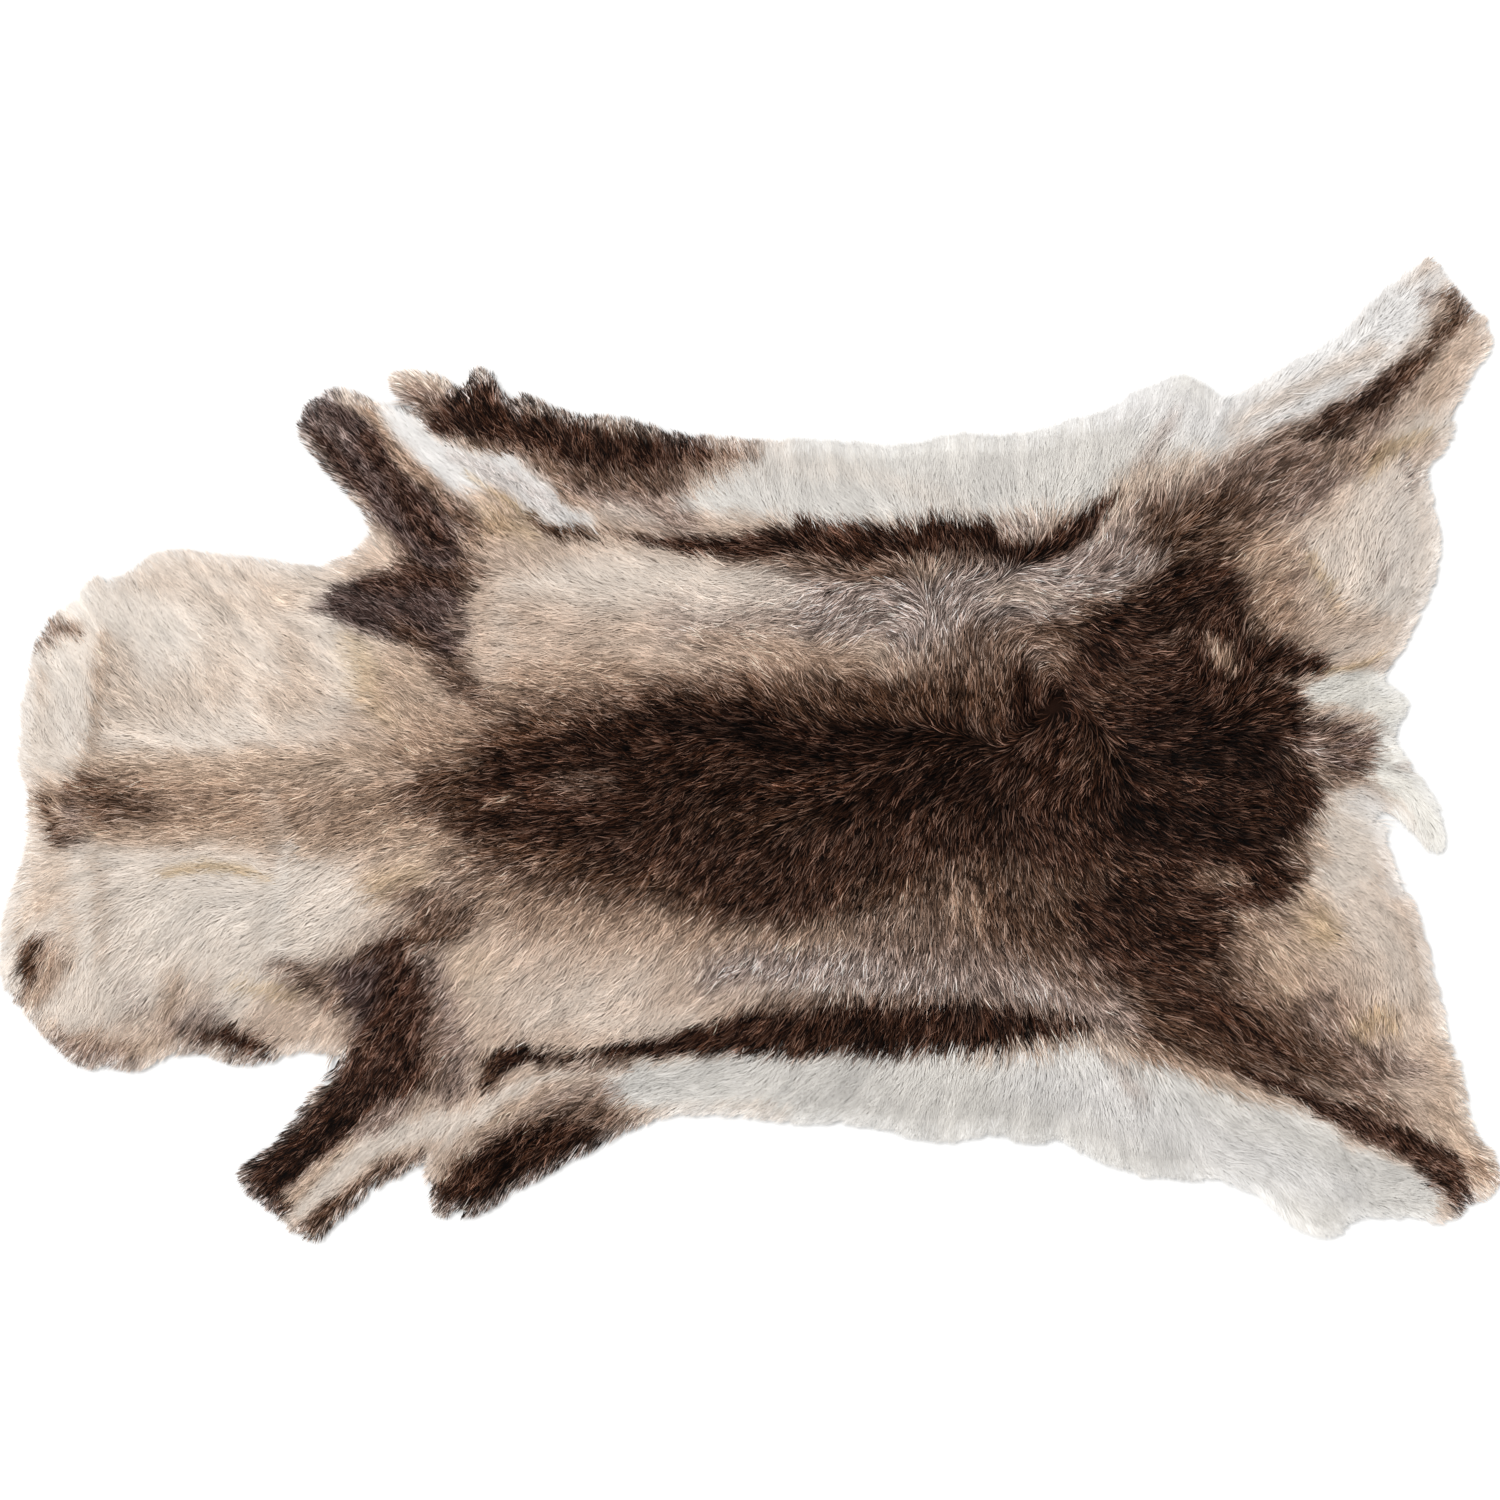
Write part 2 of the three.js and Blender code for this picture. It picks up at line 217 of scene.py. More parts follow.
# which way the hair lies: one row for each guide, with mm along the back, mm to the side, and the
# angle its hair points to, 0 towards the tail and 90 to the animal's right
hairGuides = [
    # neck
    (-605, 26, 118), (-618, -26, 150), (-618, -70, 180), (-600, -131, 205), (-605, -200, 248),
    (-626, -165, 220), (-583, -252, 240), (-548, 113, 125), (-496, 44, 128), (-435, 131, 130),
    (-392, 61, 140), (-522, -9, 175), (-522, -52, 180), (-461, -48, 182), (-435, -96, 180),
    (-496, -174, 235), (-444, -244, 228), (-531, -244, 240), (-392, -157, 215), (-365, -131, 215),
    (-374, -244, 235), (-365, -44, 200), (-348, 26, 165), (-305, 26, 145), (-278, -61, 200),
    # shoulders and forelegs
    (-383, 131, 160), (-331, 131, 155), (-287, 131, 150), (-261, 131, 142), (-235, 113, 178),
    (-339, -200, 230), (-392, -187, 215), (-278, -174, 232), (-357, 278, 130), (-305, 200, 125),
    (-278, 270, 140), (-226, 226, 135), (-392, -357, 225), (-348, -374, 220), (-305, -305, 235),
    # breast flaps
    (-296, 318, 150), (-235, 309, 110), (-131, 270, 103), (-44, 252, 112), (-165, 226, 130),
    (-270, -383, 240), (-235, -374, 230), (-200, -339, 228), (-131, -322, 225), (-165, -287, 212),
    # belly
    (44, 244, 100), (174, 244, 90), (304, 261, 85), (374, 278, 75), (392, 244, 60),
    (-44, -296, 208), (87, -291, 232), (218, -296, 258), (304, -305, 274), (365, -339, 290),
    (435, -331, 330), (496, -383, 310), (566, -383, 345),
    # right flank and its whorl
    (-131, 191, 145), (-44, 178, 155), (87, 178, 135), (218, 191, 120), (218, 178, 95),
    (304, 191, 80), (348, 200, 70), (-200, 44, 170), (-131, 87, 184), (-131, 26, 160),
    (-44, 44, 155), (44, 44, 125), (44, -9, 180), (9, 131, 188), (87, 122, 222),
    (135, 122, 165), (162, 96, 95), (174, 131, 65), (196, 144, 10), (244, 139, -25),
    (287, 131, -10), (291, 161, 50), (283, 146, 20), (196, 165, 110), (291, 87, -45),
    (187, 64, 90), (218, 44, 90),
    # back
    (-200, -26, 185), (-131, -35, 185), (-44, -26, 205), (-44, -70, 232), (87, -96, 245),
    (174, -26, 215), (174, -70, 262), (261, -9, 235), (261, -87, 295), (218, -131, 275),
    (348, 44, 0), (374, -87, 330), (435, -44, 350), (409, 78, 80), (461, -26, -50),
    # left flank
    (-235, -200, 222), (-165, -157, 228), (-44, -183, 230), (44, -183, 240), (131, -183, 262),
    (131, -218, 245), (218, -183, 290), (270, -183, 308), (304, -157, 320), (261, -226, 285),
    # rump, hind legs and tail
    (392, 165, 20), (435, 165, 40), (478, 218, 40), (505, 235, 50), (566, 252, 45),
    (609, 357, 45), (478, 278, 38), (566, 348, 42), (522, 165, 75), (522, 96, 20),
    (566, 131, 50), (470, 78, 45), (478, 44, 15), (518, 17, 25), (522, -8, -10),
    (566, 39, 15), (587, -61, -62), (478, -61, -45), (522, -61, -20), (522, -131, -35),
    (548, -218, -78), (435, -183, -40), (392, -148, -8), (348, -218, -20), (452, -131, -30),
    (478, -218, -55), (478, -287, -28), (566, -322, -40), (592, -287, -10), (618, -383, -35),
    (409, -252, -35), (609, -305, -50),
]
# how long it is: one row for each place, with mm along, mm to the side, and mm of hair that show
hairLengths = [
    (-600, 30, 22), (-480, 80, 24), (-480, -170, 25), (-350, -30, 20), (-350, 270, 14),
    (-400, -350, 15), (-230, 300, 17), (-230, -360, 18), (-100, 0, 19), (150, 100, 19),
    (150, -160, 19), (100, 240, 28), (200, -290, 29), (380, 280, 32), (420, -340, 32),
    (350, 0, 18), (500, 150, 17), (500, -120, 17), (570, 350, 16), (580, -350, 16), (590, -40, 26),
]
# how rows are weighed at a place: by what power of the gap, and mm within which that levels off
lieNear = {"power": 2.0, "reach": 14}
lengthNear = {"power": 1.5, "reach": 60}


def nearest(table, power, reach):
    # the mean of the table's values at every map point, each row weighed by 1 / (gap² + reach²)^power
    total, weights = 0, 0
    for x, y, *values in table:
        gap = (mapX - x * mm) ** 2 + (mapY - y * mm) ** 2 + (reach * mm) ** 2
        weight = (reach * mm) ** (2 * power) / gap ** power
        total = total + weight[..., None] * np.array(values)
        weights = weights + weight[..., None]
    return total / weights


guideTurn = np.radians([angle for _, _, angle in hairGuides])
guideWays = [(x, y, math.cos(t), math.sin(t)) for (x, y, _), t in zip(hairGuides, guideTurn)]
lieMap = unit(nearest(guideWays, **lieNear))
lengthMap = nearest(hairLengths, **lengthNear)[..., 0] * mm
print("hair direction worked out")


# tones of the coat, by name: red, green, blue from 0 to 255, and how much one hair differs from the next
coatTones = {
    "snow": (229, 226, 223, 0.01), "milk": (233, 224, 214, 0.01), "ivory": (233, 229, 221, 0.01),
    "belly": (222, 218, 212, 0.01), "cream": (225, 213, 201, 0.02),
    "sand": (203, 181, 163, 0.08), "tan": (184, 159, 138, 0.15), "fawn": (160, 131, 110, 0.23),
    "ochre": (186, 158, 120, 0.12), "frost": (158, 139, 130, 0.32), "taupe": (135, 114, 103, 0.28),
    "greyBrown": (107, 83, 69, 0.38), "slate": (80, 63, 58, 0.42), "umber": (81, 57, 43, 0.50),
    "cocoa": (62, 40, 30, 0.60), "sable": (50, 31, 22, 0.68), "black": (35, 21, 15, 0.68),
}
# its markings, in the order in which they cover each other: tone, softness of the edge in mm,
# strength from 0 to 1, and a line of places: mm along, mm to the side, half width there in mm
coatMarks = [
    # light ground of the neck, flanks and rump
    ("cream", 18, 1.0, [(-592, 61, 90), (-479, 80, 92), (-405, 85, 78)]),
    ("cream", 18, 1.0, [(-600, -157, 90), (-479, -155, 86), (-385, -130, 48)]),
    ("milk", 26, 0.8, [(-566, 110, 30), (-510, 110, 34), (-466, 130, 22)]),
    ("milk", 22, 0.5, [(-500, -140, 30), (-430, -140, 20), (-410, -110, 16)]),
    ("tan", 24, 0.35, [(-545, 30, 16), (-470, 55, 18)]),
    ("tan", 24, 0.45, [(-425, 125, 12), (-390, 140, 10)]),
    ("tan", 20, 0.55, [(-410, 40, 18), (-385, 50, 20), (-400, 95, 10)]),
    ("ochre", 16, 0.55, [(-345, 95, 10), (-332, 60, 16), (-310, 30, 12)]),
    ("tan", 16, 0.9, [(-300, 62, 24), (-290, 30, 22)]),
    ("cream", 16, 0.9, [(-205, 140, 10), (-150, 150, 17), (-96, 150, 20), (-17, 150, 14), (30, 156, 8)]),
    ("cream", 18, 0.6, [(-150, 140, 24), (-60, 138, 24), (20, 142, 16)]),
    ("cream", 10, 0.5, [(-216, 120, 6), (-216, 66, 5)]),
    ("cream", 20, 0.9, [(505, 165, 32), (548, 165, 56), (556, 218, 36)]),
    ("snow", 24, 0.3, [(560, 130, 24), (570, 200, 24)]),
    ("cream", 16, 0.7, [(520, -110, 24), (556, -190, 24), (584, -240, 10)]),
    ("cream", 14, 0.7, [(-390, -110, 14), (-330, -150, 14)]),
    ("sand", 16, 0.5, [(-310, -110, 14), (-250, -132, 14)]),
    ("ochre", 16, 0.5, [(-320, -118, 12), (-290, -108, 12)]),
    ("ochre", 26, 0.2, [(-240, -195, 20)]),
    ("cream", 22, 0.4, [(-230, -210, 16), (-150, -210, 20)]),
    ("cream", 18, 0.5, [(-190, -235, 14), (-100, -205, 18)]),
    ("cream", 14, 0.6, [(-140, -240, 10), (-90, -236, 12), (-50, -228, 8)]),
    # white belly
    ("belly", 9, 1.0, [(-60, 210, 6), (-22, 218, 16), (22, 232, 29), (87, 236, 38), (174, 240, 39),
        (261, 250, 45), (322, 268, 42), (374, 290, 46)]),
    ("belly", 7, 1.0, [(-112, -290, 14), (-87, -291, 22), (0, -291, 29), (87, -297, 34),
        (174, -306, 40), (235, -313, 42), (287, -305, 46), (348, -322, 48), (409, -338, 44),
        (478, -362, 46), (502, -392, 36), (522, -376, 36), (583, -390, 20)]),
    ("snow", 18, 0.75, [(230, -285, 14), (300, -300, 24), (380, -335, 24), (480, -372, 20),
        (520, -385, 14)]),
    ("snow", 14, 1.0, [(250, 285, 16), (330, 310, 26), (400, 276, 18), (461, 304, 26), (522, 340, 28),
        (565, 380, 26), (588, 404, 14)]),
    ("cream", 14, 0.5, [(0, 244, 6), (90, 246, 5), (180, 212, 5)]),
    # painted soft shadow along the belly's rim
    ("tan", 8, 0.4, [(-110, -314, 5), (-50, -309, 4), (30, -313, 4)]),
    # neck stripe and rims of the dark back
    ("tan", 13, 0.9, [(-600, -48, 22), (-560, -43, 36), (-500, -44, 40), (-440, -47, 44),
        (-380, -47, 48), (-320, -42, 50)]),
    ("fawn", 12, 0.7, [(-606, -48, 14), (-560, -44, 29), (-500, -46, 25), (-440, -50, 22),
        (-400, -46, 20), (-350, -56, 28), (-320, -52, 32)]),
    ("fawn", 20, 0.9, [(-312, -24, 16), (-290, -24, 36), (-240, -30, 70), (-190, -36, 96),
        (-100, -42, 108), (0, -45, 116), (120, -40, 122), (220, -20, 134), (300, 0, 150)]),
    ("greyBrown", 14, 0.9, [(-222, -80, 12), (-198, -98, 22), (-168, -106, 20)]),
    ("cocoa", 12, 0.7, [(-210, -74, 10), (-180, -90, 14), (-150, -98, 12)]),
    ("tan", 16, 0.6, [(-320, -76, 12), (-280, -90, 12), (-250, -100, 12)]),
    ("greyBrown", 14, 0.6, [(-204, -130, 14), (-196, -150, 10)]),
    ("greyBrown", 16, 0.75, [(-262, -98, 8), (-200, -108, 18), (-150, -120, 13), (-100, -126, 13),
        (-40, -136, 12)]),
    ("fawn", 18, 0.6, [(-240, -132, 16), (-150, -150, 18), (-60, -160, 18), (40, -166, 12)]),
    ("greyBrown", 16, 0.8, [(-292, -36, 6), (-276, -34, 15)]),
    ("fawn", 16, 0.6, [(-204, 66, 11), (-150, 68, 14), (-110, 66, 8)]),
    ("greyBrown", 16, 0.75, [(-190, 44, 10), (-130, 42, 8), (-60, 52, 10), (0, 66, 9), (60, 66, 10)]),
    ("fawn", 18, 0.9, [(432, 170, 30), (455, 150, 30), (452, 118, 24)]),
    ("fawn", 22, 0.95, [(425, -165, 34), (450, -205, 34), (480, -235, 30)]),
    ("greyBrown", 16, 0.7, [(412, -150, 14), (420, -200, 16)]),
    ("tan", 16, 0.8, [(465, -150, 22), (470, -190, 20)]),
    ("ochre", 14, 0.6, [(488, -134, 12), (498, -165, 12)]),
    # frosted flanks
    ("frost", 22, 0.5, [(-60, 108, 20), (0, 112, 24), (50, 130, 30)]),
    ("frost", 20, 0.95, [(66, 125, 34), (130, 118, 42), (183, 136, 40), (252, 142, 36), (304, 160, 34),
        (340, 178, 26)]),
    ("frost", 16, 0.7, [(140, 148, 12), (190, 146, 12), (217, 140, 14)]),
    ("fawn", 18, 0.6, [(40, 80, 14), (100, 72, 12), (130, 70, 8)]),
    ("frost", 18, 0.95, [(-30, -192, 14), (61, -184, 30), (130, -180, 36), (200, -186, 38),
        (261, -190, 38), (313, -220, 28), (345, -236, 14)]),
    ("fawn", 18, 0.8, [(20, -160, 12), (90, -158, 14), (150, -156, 12)]),
    ("taupe", 18, 0.85, [(200, -170, 20), (215, -200, 12)]),
    ("taupe", 18, 0.6, [(110, -160, 18), (190, -180, 26)]),
    ("greyBrown", 22, 0.4, [(110, -146, 16), (190, -156, 30), (260, -172, 28)]),
    ("taupe", 18, 0.9, [(290, -180, 22), (310, -225, 20)]),
    ("frost", 12, 0.5, [(272, -196, 12), (296, -206, 10)]),
    ("taupe", 14, 0.5, [(274, -216, 12), (302, -224, 12)]),
    ("greyBrown", 18, 0.9, [(176, 64, 24), (217, 78, 30), (270, 88, 34), (300, 96, 26)]),
    ("greyBrown", 16, 0.4, [(96, -146, 12), (116, -164, 12), (150, -176, 10)]),
    ("greyBrown", 18, 1.0, [(180, -132, 28), (240, -140, 40), (300, -160, 52)]),
    ("umber", 18, 0.8, [(236, -132, 32), (300, -150, 42), (366, -168, 34)]),
    ("greyBrown", 12, 0.7, [(196, 104, 14)]),
    ("greyBrown", 12, 0.8, [(262, 124, 8), (296, 118, 12)]),
    ("taupe", 14, 0.6, [(300, 158, 10), (330, 186, 13), (352, 178, 13)]),
    ("frost", 12, 1.0, [(208, 146, 16), (232, 142, 20), (262, 128, 16)]),
    ("frost", 12, 0.7, [(136, 154, 10), (158, 150, 12)]),
    # dark back
    ("greyBrown", 14, 0.95, [(-298, -44, 9), (-280, -40, 20), (-261, -38, 28), (-225, -42, 46),
        (-190, -38, 72), (-150, -42, 82), (-113, -44, 90), (-44, -42, 102), (26, -46, 104),
        (96, -40, 104), (165, -34, 100), (217, -30, 104), (270, -24, 108)]),
    ("umber", 12, 1.0, [(-282, -40, 8), (-266, -38, 18), (-240, -38, 34), (-212, -38, 50),
        (-180, -36, 66), (-140, -42, 72), (-100, -46, 80), (-44, -42, 92), (0, -44, 102), (40, -46, 98),
        (96, -38, 96), (165, -34, 90), (217, -30, 92), (270, -25, 94), (330, -15, 110)]),
    ("umber", 10, 0.7, [(-284, -32, 5), (-264, -36, 13)]),
    ("cocoa", 14, 0.9, [(-236, -16, 8), (-218, -30, 26), (-180, -34, 44), (-140, -38, 54),
        (-90, -42, 68), (-44, -38, 80), (20, -44, 84), (96, -38, 76), (165, -28, 64), (217, -26, 66),
        (260, -36, 64)]),
    ("cocoa", 14, 0.85, [(-20, -134, 13), (20, -138, 16), (70, -128, 13)]),
    ("sable", 10, 0.6, [(-238, -12, 5), (-210, -14, 9), (-180, -4, 8)]),
    ("sable", 16, 0.9, [(-160, -6, 20), (-139, -6, 28), (-96, -14, 46), (-40, -20, 58), (10, -26, 56),
        (60, -22, 46), (113, -20, 42), (174, -18, 36), (220, -24, 26)]),
    ("sable", 10, 0.8, [(-250, -64, 5), (-220, -62, 9), (-190, -66, 12), (-150, -68, 12)]),
    ("black", 14, 0.8, [(-60, 20, 12), (-20, 26, 16), (20, 12, 14), (70, 6, 16), (130, 10, 12)]),
    ("black", 12, 0.7, [(110, -34, 8), (150, -32, 14), (200, -24, 12)]),
    ("umber", 12, 0.8, [(40, 40, 12), (70, 42, 14), (110, 42, 12), (160, 44, 14)]),
    ("greyBrown", 10, 0.7, [(-170, -28, 6), (-150, -28, 10), (-130, -30, 8)]),
    ("fawn", 6, 0.6, [(-224, -46, 3), (-208, -42, 4)]),
    ("fawn", 10, 0.45, [(-258, -4, 9), (-242, -12, 8)]),
    ("umber", 10, 0.5, [(-180, -98, 11), (-158, -100, 10)]),
    ("cocoa", 10, 0.5, [(-202, -64, 9), (-184, -78, 11), (-174, -58, 8)]),
    ("umber", 14, 0.45, [(-40, -62, 10), (10, -62, 12), (50, -60, 10)]),
    ("greyBrown", 14, 0.6, [(160, -112, 12), (200, -108, 12), (240, -106, 10)]),
    ("fawn", 12, 0.6, [(178, -136, 12), (196, -146, 10)]),
    ("umber", 8, 0.8, [(208, -112, 5), (208, -150, 6)]),
    ("greyBrown", 14, 0.4, [(198, 22, 12), (214, 0, 10)]),
    ("taupe", 10, 0.6, [(262, 34, 5), (272, 48, 6), (292, 70, 6)]),
    ("taupe", 10, 0.6, [(240, 84, 6), (254, 74, 6)]),
    ("fawn", 10, 0.4, [(262, 64, 8), (280, 60, 8)]),
    ("taupe", 8, 0.4, [(-204, 34, 5), (-200, 28, 5)]),
    ("tan", 10, 0.4, [(100, 88, 8), (116, 85, 8)]),
    # loin and croup
    ("cocoa", 16, 1.0, [(287, -20, 84), (340, -12, 98), (386, -16, 102)]),
    ("cocoa", 12, 1.0, [(436, 66, 32), (448, -20, 36), (440, -60, 38), (430, -96, 34)]),
    ("cocoa", 14, 0.95, [(300, 84, 20), (345, 96, 36), (386, 116, 45), (402, 124, 32)]),
    ("sable", 12, 0.9, [(294, 100, 10), (316, 108, 16), (346, 124, 22), (372, 138, 27), (396, 134, 30),
        (406, 122, 22)]),
    ("cocoa", 14, 0.95, [(310, -170, 26), (352, -180, 34), (384, -180, 28)]),
    ("sable", 12, 0.95, [(292, -136, 16), (331, -136, 28), (370, -140, 32), (398, -148, 26)]),
    ("umber", 14, 0.9, [(340, -215, 12), (370, -212, 20), (400, -200, 18)]),
    ("sable", 18, 0.75, [(300, -10, 30), (370, -30, 56), (430, -30, 56), (462, -50, 30)]),
    ("sable", 12, 0.7, [(365, 36, 20), (420, 20, 24), (456, 20, 14)]),
    ("black", 14, 0.75, [(370, 16, 28), (440, 10, 24), (452, -66, 22), (400, -66, 28), (330, -60, 24)]),
    ("umber", 12, 0.6, [(300, 40, 10), (336, 66, 10)]),
    ("umber", 12, 0.35, [(300, -96, 12), (332, -104, 12)]),
    ("sable", 12, 0.6, [(272, -56, 14), (300, -70, 14)]),
    ("umber", 10, 0.6, [(258, 108, 8), (272, 102, 8)]),
    ("umber", 12, 0.6, [(284, -10, 12), (310, -8, 10)]),
    ("taupe", 14, 0.4, [(276, -176, 12), (296, -190, 10)]),
    # hind legs
    ("tan", 14, 0.8, [(320, 222, 8), (345, 238, 8), (385, 250, 6)]),
    ("taupe", 10, 0.45, [(340, 244, 5), (354, 268, 7), (366, 288, 3)]),
    ("tan", 12, 0.5, [(420, 276, 5), (450, 300, 6), (500, 322, 6), (540, 344, 8)]),
    ("taupe", 14, 0.9, [(345, 210, 12), (372, 212, 18), (405, 214, 26), (440, 230, 32), (476, 238, 31),
        (500, 254, 18)]),
    ("greyBrown", 12, 0.95, [(356, 206, 16), (380, 196, 24), (410, 202, 26)]),
    ("greyBrown", 12, 0.65, [(410, 204, 24), (440, 222, 30), (476, 238, 30), (494, 258, 16)]),
    ("umber", 12, 0.8, [(366, 200, 10), (386, 204, 14), (410, 208, 12)]),
    ("umber", 14, 0.75, [(350, 184, 11), (384, 184, 14), (420, 188, 9)]),
    ("cocoa", 10, 0.8, [(400, 160, 13), (410, 132, 15), (424, 108, 12)]),
    ("taupe", 12, 0.7, [(470, 206, 13), (500, 234, 13), (540, 256, 8)]),
    ("umber", 14, 0.85, [(376, 176, 12), (410, 176, 10)]),
    ("fawn", 12, 0.85, [(520, 252, 9), (540, 258, 8)]),
    ("greyBrown", 8, 0.7, [(505, 266, 6), (530, 272, 7)]),
    ("taupe", 10, 0.9, [(540, 284, 9), (562, 292, 10)]),
    ("greyBrown", 9, 0.85, [(462, 272, 7), (490, 280, 9), (520, 288, 14), (548, 300, 13), (566, 316, 9)]),
    ("cocoa", 7, 0.8, [(496, 286, 4), (512, 292, 8), (532, 303, 10), (555, 318, 10), (574, 335, 8)]),
    ("umber", 7, 0.85, [(568, 330, 9), (592, 350, 8), (610, 369, 10), (621, 386, 11)]),
    ("umber", 5, 0.9, [(604, 394, 5), (614, 392, 5)]),
    ("taupe", 6, 0.7, [(592, 384, 3), (586, 400, 4)]),
    ("sand", 10, 0.95, [(566, 276, 14), (592, 306, 18), (612, 338, 16), (634, 354, 12)]),
    ("cream", 10, 0.95, [(562, 272, 6), (588, 284, 12), (612, 282, 11)]),
    ("tan", 8, 0.6, [(590, 312, 8), (606, 340, 8)]),
    ("greyBrown", 14, 0.95, [(350, -224, 14), (380, -232, 28), (418, -244, 38), (470, -258, 36),
        (515, -270, 26), (545, -276, 14)]),
    ("umber", 12, 0.7, [(352, -240, 7), (390, -252, 12), (424, -264, 10)]),
    ("umber", 14, 0.85, [(344, -206, 14), (368, -232, 24), (410, -238, 26), (440, -252, 24),
        (476, -262, 18), (500, -262, 12)]),
    ("taupe", 12, 0.85, [(560, -268, 8), (574, -276, 9)]),
    ("taupe", 18, 0.5, [(500, -232, 16), (530, -250, 12), (540, -300, 10)]),
    ("tan", 14, 0.6, [(598, -256, 8), (606, -280, 10), (616, -320, 11)]),
    ("umber", 8, 0.5, [(534, -322, 8), (558, -334, 8)]),
    ("cocoa", 12, 0.8, [(356, -200, 15), (392, -224, 20), (430, -252, 16), (462, -262, 8)]),
    ("umber", 12, 0.55, [(350, -246, 12), (372, -254, 13), (396, -252, 14), (430, -264, 8)]),
    ("greyBrown", 8, 0.6, [(340, -264, 7), (362, -270, 8)]),
    ("umber", 8, 0.8, [(344, -246, 8), (360, -258, 8), (420, -276, 8)]),
    ("greyBrown", 12, 0.85, [(526, -298, 13), (552, -312, 13), (570, -322, 8)]),
    ("tan", 12, 0.8, [(594, -310, 10), (612, -338, 12), (636, -365, 12)]),
    ("fawn", 8, 0.8, [(620, -360, 8), (640, -370, 12)]),
    ("cocoa", 6, 0.95, [(430, -282, 4), (465, -293, 8), (500, -309, 9), (525, -320, 11),
        (548, -332, 12), (570, -340, 12), (592, -354, 15), (608, -370, 17), (618, -388, 11)]),
    ("taupe", 8, 0.45, [(310, -264, 4), (328, -284, 5), (340, -296, 3)]),
    ("fawn", 8, 0.5, [(330, -252, 6), (352, -262, 7), (395, -282, 7)]),
    ("tan", 7, 0.7, [(388, -284, 5), (405, -290, 6), (430, -299, 6), (462, -306, 4)]),
    ("greyBrown", 9, 0.4, [(318, -240, 5), (345, -250, 6)]),
    ("fawn", 6, 0.5, [(340, -262, 4), (372, -274, 4), (398, -286, 4)]),
    ("taupe", 14, 0.6, [(490, -220, 12), (512, -228, 12)]),
    ("sand", 14, 0.5, [(540, -190, 12), (552, -206, 10)]),
    ("fawn", 14, 0.5, [(518, -230, 12), (545, -238, 12)]),
    ("tan", 14, 0.5, [(574, -232, 12), (592, -240, 8)]),
    ("ochre", 9, 0.55, [(530, -244, 7), (548, -232, 9), (560, -240, 7)]),
    # flank stripes
    ("greyBrown", 12, 0.9, [(-20, 168, 5), (60, 163, 14), (150, 168, 15), (204, 172, 10), (262, 178, 8)]),
    ("cocoa", 5, 1.0, [(-96, 182, 3), (-60, 180, 7), (-30, 179, 8), (0, 178, 11), (44, 187, 16),
        (80, 185, 16), (104, 180, 15), (130, 181, 14), (170, 187, 16), (196, 186, 14), (216, 174, 8),
        (240, 172, 9), (262, 178, 10), (284, 192, 12), (300, 208, 8), (318, 217, 4)]),
    ("sable", 6, 0.85, [(20, 186, 6), (60, 184, 8), (100, 180, 8), (140, 184, 6), (180, 190, 6),
        (210, 174, 5), (240, 170, 5), (272, 188, 5)]),
    ("frost", 5, 0.7, [(216, 194, 5), (240, 194, 6), (258, 197, 3)]),
    ("tan", 8, 0.55, [(140, 158, 7), (160, 155, 7)]),
    ("sand", 10, 0.65, [(214, 140, 8), (240, 137, 9), (262, 132, 7)]),
    ("greyBrown", 9, 0.8, [(80, 158, 8), (104, 154, 10), (128, 153, 8)]),
    ("fawn", 12, 0.5, [(-46, 88, 9), (-20, 90, 11), (20, 88, 11)]),
    ("cream", 14, 0.6, [(-40, 124, 12), (0, 134, 12), (40, 132, 8)]),
    ("sand", 12, 0.7, [(100, 84, 8), (112, 78, 8)]),
    ("umber", 12, 0.7, [(176, 54, 10), (200, 44, 12), (214, 28, 10)]),
    ("greyBrown", 8, 0.85, [(-60, -247, 3), (-30, -240, 8), (20, -232, 13), (90, -226, 14),
        (174, -224, 14), (250, -230, 9), (290, -241, 5)]),
    ("sable", 4, 1.0, [(-230, -289, 6), (-216, -270, 12), (-200, -264, 11), (-182, -267, 5),
        (-150, -269, 2.5), (-124, -266, 5), (-96, -256, 8), (-44, -250, 13), (0, -248, 17),
        (44, -244, 17), (87, -244, 21), (130, -241, 24), (174, -241, 24), (218, -243, 18),
        (250, -242, 12), (283, -243, 7), (306, -246, 2)]),
    # right shoulder and foreleg
    ("greyBrown", 10, 0.85, [(-262, 172, 20), (-242, 154, 15), (-258, 120, 8)]),
    ("greyBrown", 10, 0.9, [(-288, 178, 24), (-277, 160, 26), (-280, 122, 22), (-272, 92, 18),
        (-256, 60, 16), (-234, 44, 12)]),
    ("slate", 8, 1.0, [(-378, 126, 3), (-356, 129, 15), (-328, 125, 27), (-300, 122, 30),
        (-275, 122, 28), (-266, 104, 20)]),
    ("cocoa", 9, 0.85, [(-332, 144, 7), (-305, 146, 12), (-276, 152, 16), (-262, 150, 14)]),
    ("sand", 6, 0.7, [(-326, 178, 7), (-314, 174, 5)]),
    ("umber", 9, 0.75, [(-302, 102, 8), (-284, 92, 9)]),
    ("tan", 8, 0.45, [(-256, 106, 6), (-250, 92, 6)]),
    ("fawn", 10, 0.7, [(-236, 186, 14), (-216, 196, 12)]),
    ("ochre", 14, 0.5, [(-228, 200, 12), (-190, 190, 8)]),
    ("fawn", 7, 0.9, [(-334, 300, 7), (-314, 270, 8), (-294, 244, 10), (-268, 222, 12)]),
    ("greyBrown", 9, 0.95, [(-276, 214, 14), (-254, 206, 12), (-240, 194, 8)]),
    ("slate", 6, 1.0, [(-374, 290, 20), (-360, 272, 28), (-344, 251, 28), (-325, 231, 26),
        (-304, 212, 24), (-284, 192, 22), (-272, 176, 20)]),
